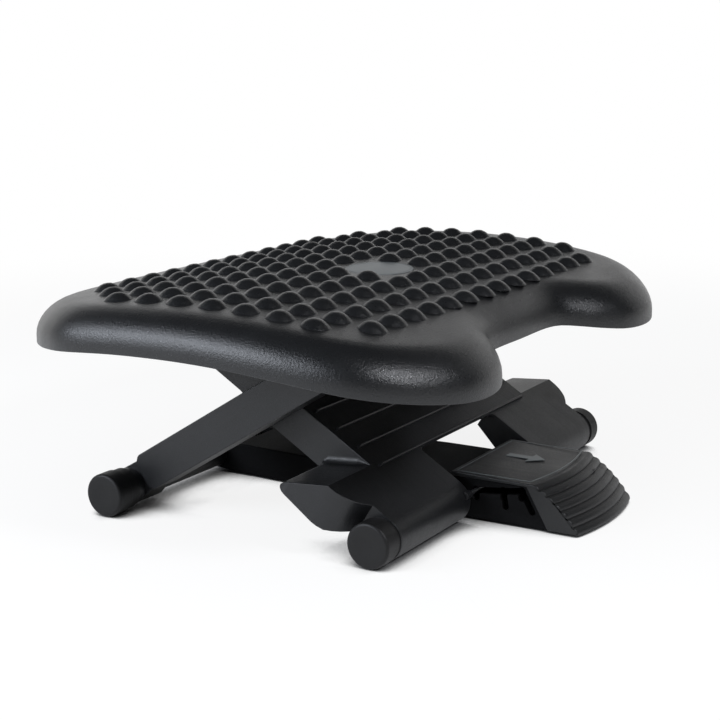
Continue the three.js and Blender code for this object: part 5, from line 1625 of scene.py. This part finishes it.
# How far the arrow stands to the right, as a share of the frame line's half width
ARROW_SHIFT = 0.2


def build_print():
    """A thin frame line round the cover's flat top and a plain arrow in it"""
    bow = bpy.context.scene.footrest_pedal.tread_bow
    half, back = COVER_X - PRINT_INSET, COVER_REAR_Y - PRINT_INSET
    ahead = FRONT_FOOT.y - TREAD_START_AHEAD + PRINT_INSET
    xs = [half * (2 * k / PRINT_STEPS - 1) for k in range(PRINT_STEPS + 1)]
    outer = [Vector((x, ahead - bow * (1 - (x / COVER_X) ** 2))) for x in xs]
    outer += [Vector((half, back)), Vector((-half, back))]
    inner = moved_in(outer, PRINT_WIDTH)
    span = (COVER_TOP - GAP, COVER_TOP + PRINT_RISE)
    frame_line = prism(outer, span, upward)
    cut(frame_line, prism(inner, (span[0] - OVERRUN, span[1] + OVERRUN), upward))
    centre = Vector((ARROW_SHIFT * half, (back + ahead) / 2))
    corners = [ARROW_TIP, *ARROW_HALF, *((-x, y) for x, y in reversed(ARROW_HALF))]
    join(frame_line, prism([tuple(centre + Vector(corner)) for corner in corners], span, upward))
    finish_piece(frame_line, "pedal_print", "pedal", "badge_plastic")


PAD_NODES = ("floor_pad_front", "floor_pad_middle", "floor_pad_rear")
PAD_CORNER_ROUND = 0.003
PAD_EDGE_ROUND = 0.0004


def build_pads():
    for node in PAD_NODES:
        low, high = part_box(node)
        corners = ((low.x, low.y), (high.x, low.y), (high.x, high.y), (low.x, high.y))
        outline = rounded([(x, y, PAD_CORNER_ROUND) for x, y in corners])
        pad = prism(outline, (low.z, high.z), upward, rounding=PAD_EDGE_ROUND,
                    chosen=lambda spot: spot.z < high.z / 2)
        finish_piece(pad, f"{node}_moulded", "pedal", "pad_rubber", [node])


SPRING_RADIUS = 0.009
SPRING_WIRE = 0.0011
SPRING_CURLS = 6.0


def build_spring():
    length = 2 * (SPRING_WINDOW - SPRING_WIRE - GAP)
    start = REAR_FOOT - Vector((length / 2, 0, 0))
    made = grown("pedal_spring_wound", [tuple(start)], spring_tree(), {
        "Radius": SPRING_RADIUS, "Wire": SPRING_WIRE, "Length": length, "Curls": SPRING_CURLS,
        "Material": finish_for("black_steel")})
    finish_piece(made, "pedal_spring_wound", "pedal", "black_steel", ["pedal_spring"], weighed=False)


SCREW_FACETS = 24
# How much of a screw head's height its dome takes
SCREW_DOME_SHARE = 0.75
RECESS_HALF_WIDTH = 0.0004
RECESS_REACH = 0.0016
RECESS_DEPTH = 0.0012


def screw_master():
    """A domed screw that stands on its head, with a cross recess"""
    head, shank, length = SCREW_HEAD_RADIUS, SCREW_RADIUS, SCREW_LENGTH - SCREW_HEAD_HEIGHT
    tall = SCREW_HEAD_HEIGHT
    dome = [(-tall + tall * SCREW_DOME_SHARE * (1 - math.cos(t)), head * math.sin(t))
            for t in (math.pi / 2 * k / CORNER_STEPS for k in range(CORNER_STEPS + 1))]
    profile = dome + [(0, head), (0, shank), (length - shank, shank), (length, 0)]
    body = turned(profile, Vector((0, 0, 0)), facets=SCREW_FACETS)
    body.data.transform(Matrix.Rotation(-math.pi / 2, 4, "Y"))
    long, short = (-RECESS_REACH, RECESS_REACH), (-RECESS_HALF_WIDTH, RECESS_HALF_WIDTH)
    deep = (-tall - GAP, RECESS_DEPTH - tall)
    return cut(body, block(long, short, deep), block(short, long, deep))


SCREW_ROWS = (
    ("clamp_screws", "platform", [f"clamp_screw_{side}_{end}" for side in ("left", "right")
                                  for end in ("front", "rear")]),
    ("cover_screws", "pedal", ["cover_screw_left", "cover_screw_right"]),
)


def build_screws():
    master = screw_master()
    values = {"Master": master, "Material": finish_for("black_steel")}
    for name, body, nodes in SCREW_ROWS:
        places = []
        for node in nodes:
            spot = middle(node)
            places.append((spot.x, spot.y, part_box(node)[0].z + SCREW_HEAD_HEIGHT))
        finish_piece(grown(name, places, copies_tree(), values), name, body, "black_steel", nodes)
    mesh = master.data
    bpy.data.objects.remove(master)
    bpy.data.meshes.remove(mesh)


# Nodes of the frame whose shape stays, by their slot
KEPT_NODES = {
    "black_steel": ("carriage_cheek_left", "carriage_cheek_right", "carriage_tie_front", "carriage_tie_rear"),
    "rail_plastic": ("axle_clamp_left", "axle_clamp_right"),
}


def paint_kept_nodes():
    for slot, nodes in KEPT_NODES.items():
        for name in nodes:
            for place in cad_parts[name].material_slots:
                place.link = "OBJECT"
                place.material = finish_for(slot)


# Stage

CAMERA_PLACE = (-0.9574, -0.5709, 0.3368)
CAMERA_RIGHT = (0.5135, -0.8581, -0.0057)
CAMERA_UP = (0.187, 0.1054, 0.9767)
CAMERA_FORWARD = (0.8375, 0.5026, -0.2146)
CAMERA_LENS = 76.58
CAMERA_CLIP = (0.05, 60)
FLOOR_DROP = 0.0002
FLOOR_REACH = 12.0
FLOOR_COLOUR = (0.9, 0.9, 0.9, 1.0)
WHITE = (1.0, 1.0, 1.0, 1.0)
SHADOW_SHARE = 0.14
GLOSS_SHADOW_SHARE = 0.7
SHADOW_REACH = (0.55, 1.3)
# The floor's white is painted darker where ambient occlusion finds it closed in: painted shade in crevices,
# under and inside the object
PAINTED_SHADE_REACH = 0.05
PAINTED_SHADE_SAMPLES = 8
PAINTED_SHADE_LIMITS = (0.32, 0.6)
AMBIENT = 0.42
OVERHEAD = 0.02
LAMP_AIM = (0.0, 0.0, 0.09)
# Each lamp: name, direction, distance, width, height, power, colour
LAMPS = (
    ("side_softbox", (-0.80, 0.46, 0.42), 1.4, 1.0, 0.62, 19.0, (0.86, 0.91, 1.0)),
    ("front_softbox", (-0.22, -0.86, 0.66), 1.3, 0.24, 0.24, 8.5, (0.93, 0.95, 1.0)),
)


def build_camera():
    camera = bpy.data.cameras.new("photo_camera")
    camera.lens = CAMERA_LENS
    camera.clip_start, camera.clip_end = CAMERA_CLIP
    made = bpy.data.objects.new("photo_camera", camera)
    columns = (Vector(CAMERA_RIGHT), Vector(CAMERA_UP), -Vector(CAMERA_FORWARD))
    turn = Matrix([[column[row] for column in columns] for row in range(3)]).to_quaternion()
    made.matrix_world = Matrix.Translation(CAMERA_PLACE) @ turn.to_matrix().to_4x4()
    bpy.context.scene.collection.objects.link(made)
    bpy.context.scene.camera = made


def build_lamps():
    for name, direction, distance, width, height, power, colour in LAMPS:
        lamp = bpy.data.lights.new(name, "AREA")
        lamp.shape = "RECTANGLE"
        lamp.size, lamp.size_y = width, height
        lamp.energy, lamp.color = power, colour
        made = bpy.data.objects.new(name, lamp)
        aim = Vector(direction).normalized()
        made.location = Vector(LAMP_AIM) + aim * distance
        made.rotation_euler = aim.to_track_quat("Z", "Y").to_euler()
        made.visible_camera = False
        bpy.context.scene.collection.objects.link(made)


def ray_kinds(tree):
    """Two outputs: 1 on rays from the camera, and 1 on rays that mirror or pass through"""
    path = tree.nodes.new("ShaderNodeLightPath").outputs
    return path["Is Camera Ray"], maths(tree, "MAXIMUM", path["Is Glossy Ray"], path["Is Transmission Ray"])


def build_floor():
    bm = bmesh.new()
    corners = [(-FLOOR_REACH, -FLOOR_REACH), (FLOOR_REACH, -FLOOR_REACH), (FLOOR_REACH, FLOOR_REACH),
               (-FLOOR_REACH, FLOOR_REACH)]
    bm.faces.new([bm.verts.new((x, y, -FLOOR_DROP)) for x, y in corners])
    floor = from_bmesh("pale_floor", bm)
    material, tree = new_material("Pale Floor")
    tree.nodes.clear()
    diffuse = add(tree, "ShaderNodeBsdfDiffuse", {"Color": FLOOR_COLOUR})
    direct, glossy = ray_kinds(tree)
    share = maths(tree, "MAXIMUM", direct, glossy)
    way = add(tree, "ShaderNodeTexCoord").outputs["Object"]
    reach = add(tree, "ShaderNodeVectorMath", {0: way}, operation="LENGTH").outputs["Value"]
    near = ranged(tree, reach, SHADOW_REACH[1], SHADOW_REACH[0], interpolation_type="SMOOTHSTEP")
    shadow = add(tree, "ShaderNodeMix", {0: direct, 2: GLOSS_SHADOW_SHARE, 3: SHADOW_SHARE})
    shaded = maths(tree, "MULTIPLY", near, shadow.outputs[0])
    kept = maths(tree, "MULTIPLY", share, maths(tree, "SUBTRACT", 1.0, shaded))
    # Painted shade: the floor's white emission dims where ambient occlusion finds the floor closed in
    open_air = add(tree, "ShaderNodeAmbientOcclusion", {"Distance": PAINTED_SHADE_REACH}, samples=PAINTED_SHADE_SAMPLES)
    lit = ranged(tree, open_air.outputs["AO"], *PAINTED_SHADE_LIMITS)
    white = add(tree, "ShaderNodeEmission", {"Color": WHITE, "Strength": lit})
    mix = add(tree, "ShaderNodeMixShader", {0: kept, 1: diffuse.outputs[0], 2: white.outputs[0]})
    add(tree, "ShaderNodeOutputMaterial", {"Surface": mix.outputs[0]})
    floor.data.materials.append(material)


BACKDROP_WAY = (0.857, 0.515, 0.0)
BACKDROP_HEIGHTS = (0.56, 0.3)
BACKDROP_SPREAD = (0.3, 0.82)


def build_world():
    """White behind the object, a low white backdrop in its gloss, and a plain level of light"""
    world = bpy.data.worlds.new("studio")
    bpy.context.scene.world = world
    world.use_nodes = True
    tree = world.node_tree
    tree.nodes.clear()
    way = add(tree, "ShaderNodeTexCoord").outputs["Generated"]
    height = add(tree, "ShaderNodeSeparateXYZ", {0: way}).outputs["Z"]
    low = ranged(tree, height, *BACKDROP_HEIGHTS, interpolation_type="SMOOTHSTEP")
    ahead = add(tree, "ShaderNodeVectorMath", {0: way, 1: BACKDROP_WAY}, operation="DOT_PRODUCT")
    far = ranged(tree, ahead.outputs["Value"], *BACKDROP_SPREAD, interpolation_type="SMOOTHSTEP")
    limits = {"Value": maths(tree, "MULTIPLY", low, far), "To Min": OVERHEAD, "To Max": 1.0}
    mirrored = add(tree, "ShaderNodeMapRange", limits, clamp=True).outputs[0]
    direct, glossy = ray_kinds(tree)
    level = add(tree, "ShaderNodeMix", {0: glossy, 2: AMBIENT, 3: mirrored}).outputs[0]
    level = add(tree, "ShaderNodeMix", {0: direct, 2: level, 3: 1.0}).outputs[0]
    light = add(tree, "ShaderNodeBackground", {"Color": WHITE, "Strength": level})
    add(tree, "ShaderNodeOutputWorld", {"Surface": light.outputs[0]})


def build_stage():
    bpy.context.scene.view_settings.view_transform = "Standard"
    build_camera()
    build_lamps()
    build_floor()
    build_world()


# Operators

class FootrestOperator:
    bl_options = {"REGISTER", "UNDO"}


class FOOTREST_OT_platform(FootrestOperator, bpy.types.Operator):
    """Moulds the domed platform tray with its rounded rim"""
    bl_idname = "footrest.platform"
    bl_label = "Platform Tray"

    def execute(self, context):
        build_platform()
        return {"FINISHED"}


class FOOTREST_OT_bumps(FootrestOperator, bpy.types.Operator):
    """Lays the massage bumps in rows over the platform"""
    bl_idname = "footrest.bumps"
    bl_label = "Massage Bumps"

    def execute(self, context):
        build_bumps()
        return {"FINISHED"}


class FOOTREST_OT_badge(FootrestOperator, bpy.types.Operator):
    """Sets the blank oval badge into the platform"""
    bl_idname = "footrest.badge"
    bl_label = "Badge"

    def execute(self, context):
        build_badge()
        return {"FINISHED"}


class FOOTREST_OT_rear_leg(FootrestOperator, bpy.types.Operator):
    """Moulds the two outer bars that climb from the rear foot"""
    bl_idname = "footrest.rear_leg"
    bl_label = "Rear Leg"

    def execute(self, context):
        build_rear_leg()
        return {"FINISHED"}


class FOOTREST_OT_front_leg(FootrestOperator, bpy.types.Operator):
    """Moulds the plate with its arms and wings that climbs from the front foot"""
    bl_idname = "footrest.front_leg"
    bl_label = "Front Leg"

    def execute(self, context):
        build_front_leg()
        return {"FINISHED"}


class FOOTREST_OT_ridges(FootrestOperator, bpy.types.Operator):
    """Lays the ridges across the front leg's plate"""
    bl_idname = "footrest.ridges"
    bl_label = "Leg Ridges"

    def execute(self, context):
        build_ridges()
        return {"FINISHED"}


class FOOTREST_OT_caps(FootrestOperator, bpy.types.Operator):
    """Turns the four rubber foot caps"""
    bl_idname = "footrest.caps"
    bl_label = "Foot Caps"

    def execute(self, context):
        build_caps()
        return {"FINISHED"}


class FOOTREST_OT_rods(FootrestOperator, bpy.types.Operator):
    """Turns the steel rods, axle and pins"""
    bl_idname = "footrest.rods"
    bl_label = "Rods and Pins"

    def execute(self, context):
        build_rods()
        return {"FINISHED"}


class FOOTREST_OT_rings(FootrestOperator, bpy.types.Operator):
    """Turns the bushes, rollers and clips"""
    bl_idname = "footrest.rings"
    bl_label = "Bushes and Rollers"

    def execute(self, context):
        build_rings()
        return {"FINISHED"}


class FOOTREST_OT_rail(FootrestOperator, bpy.types.Operator):
    """Moulds the pedal rail with its hooked slots"""
    bl_idname = "footrest.rail"
    bl_label = "Pedal Rail"

    def execute(self, context):
        build_rail()
        return {"FINISHED"}


class FOOTREST_OT_cover(FootrestOperator, bpy.types.Operator):
    """Moulds the pedal cover with its ridged tread"""
    bl_idname = "footrest.cover"
    bl_label = "Pedal Cover"

    def execute(self, context):
        build_cover()
        return {"FINISHED"}


class FOOTREST_OT_print(FootrestOperator, bpy.types.Operator):
    """Prints the frame line and the arrow on the pedal cover"""
    bl_idname = "footrest.print"
    bl_label = "Pedal Print"

    def execute(self, context):
        build_print()
        return {"FINISHED"}


class FOOTREST_OT_pads(FootrestOperator, bpy.types.Operator):
    """Moulds the rubber floor pads"""
    bl_idname = "footrest.pads"
    bl_label = "Floor Pads"

    def execute(self, context):
        build_pads()
        return {"FINISHED"}


class FOOTREST_OT_spring(FootrestOperator, bpy.types.Operator):
    """Winds the pedal spring round the rear foot rod"""
    bl_idname = "footrest.spring"
    bl_label = "Pedal Spring"

    def execute(self, context):
        build_spring()
        return {"FINISHED"}


class FOOTREST_OT_screws(FootrestOperator, bpy.types.Operator):
    """Sets the screws of the axle clamps and of the pedal cover"""
    bl_idname = "footrest.screws"
    bl_label = "Screws"

    def execute(self, context):
        build_screws()
        return {"FINISHED"}


class FOOTREST_OT_carriage(FootrestOperator, bpy.types.Operator):
    """Finishes the carriage plates, tie bars and axle clamps"""
    bl_idname = "footrest.carriage"
    bl_label = "Carriage and Clamps"

    def execute(self, context):
        paint_kept_nodes()
        return {"FINISHED"}


class FOOTREST_OT_stage(FootrestOperator, bpy.types.Operator):
    """Sets the camera, the lamps, the pale floor and the backdrop"""
    bl_idname = "footrest.stage"
    bl_label = "Stage"

    def execute(self, context):
        build_stage()
        return {"FINISHED"}


OPERATORS = (
    FOOTREST_OT_platform, FOOTREST_OT_bumps, FOOTREST_OT_badge, FOOTREST_OT_rear_leg, FOOTREST_OT_front_leg,
    FOOTREST_OT_ridges, FOOTREST_OT_caps, FOOTREST_OT_rods, FOOTREST_OT_rings, FOOTREST_OT_rail,
    FOOTREST_OT_cover, FOOTREST_OT_print, FOOTREST_OT_pads, FOOTREST_OT_spring, FOOTREST_OT_screws,
    FOOTREST_OT_carriage, FOOTREST_OT_stage,
)


class FOOTREST_PT_panel(bpy.types.Panel):
    """Lists the footrest's pieces"""
    bl_idname = "FOOTREST_PT_panel"
    bl_label = "Under Desk Footrest"
    bl_space_type = "VIEW_3D"
    bl_region_type = "UI"
    bl_category = "Footrest"

    def draw(self, context):
        for operator in OPERATORS:
            self.layout.operator(operator.bl_idname)


SETTINGS = (
    ("footrest_platform", PlatformSizes), ("footrest_bumps", BumpSizes), ("footrest_stand", StandSizes),
    ("footrest_pedal", PedalSizes), ("footrest_finishes", Finishes),
)


def register():
    for name, group in SETTINGS:
        bpy.utils.register_class(group)
        setattr(bpy.types.Scene, name, PointerProperty(type=group))
    for kind in (*OPERATORS, FOOTREST_PT_panel):
        bpy.utils.register_class(kind)


def unregister():
    for kind in reversed((*OPERATORS, FOOTREST_PT_panel)):
        bpy.utils.unregister_class(kind)
    for name, group in reversed(SETTINGS):
        delattr(bpy.types.Scene, name)
        bpy.utils.unregister_class(group)


def main():
    register()
    for operator in OPERATORS:
        call = operator.bl_idname.split(".")[1]
        getattr(bpy.ops.footrest, call)()


if __name__ == "__main__":
    main()
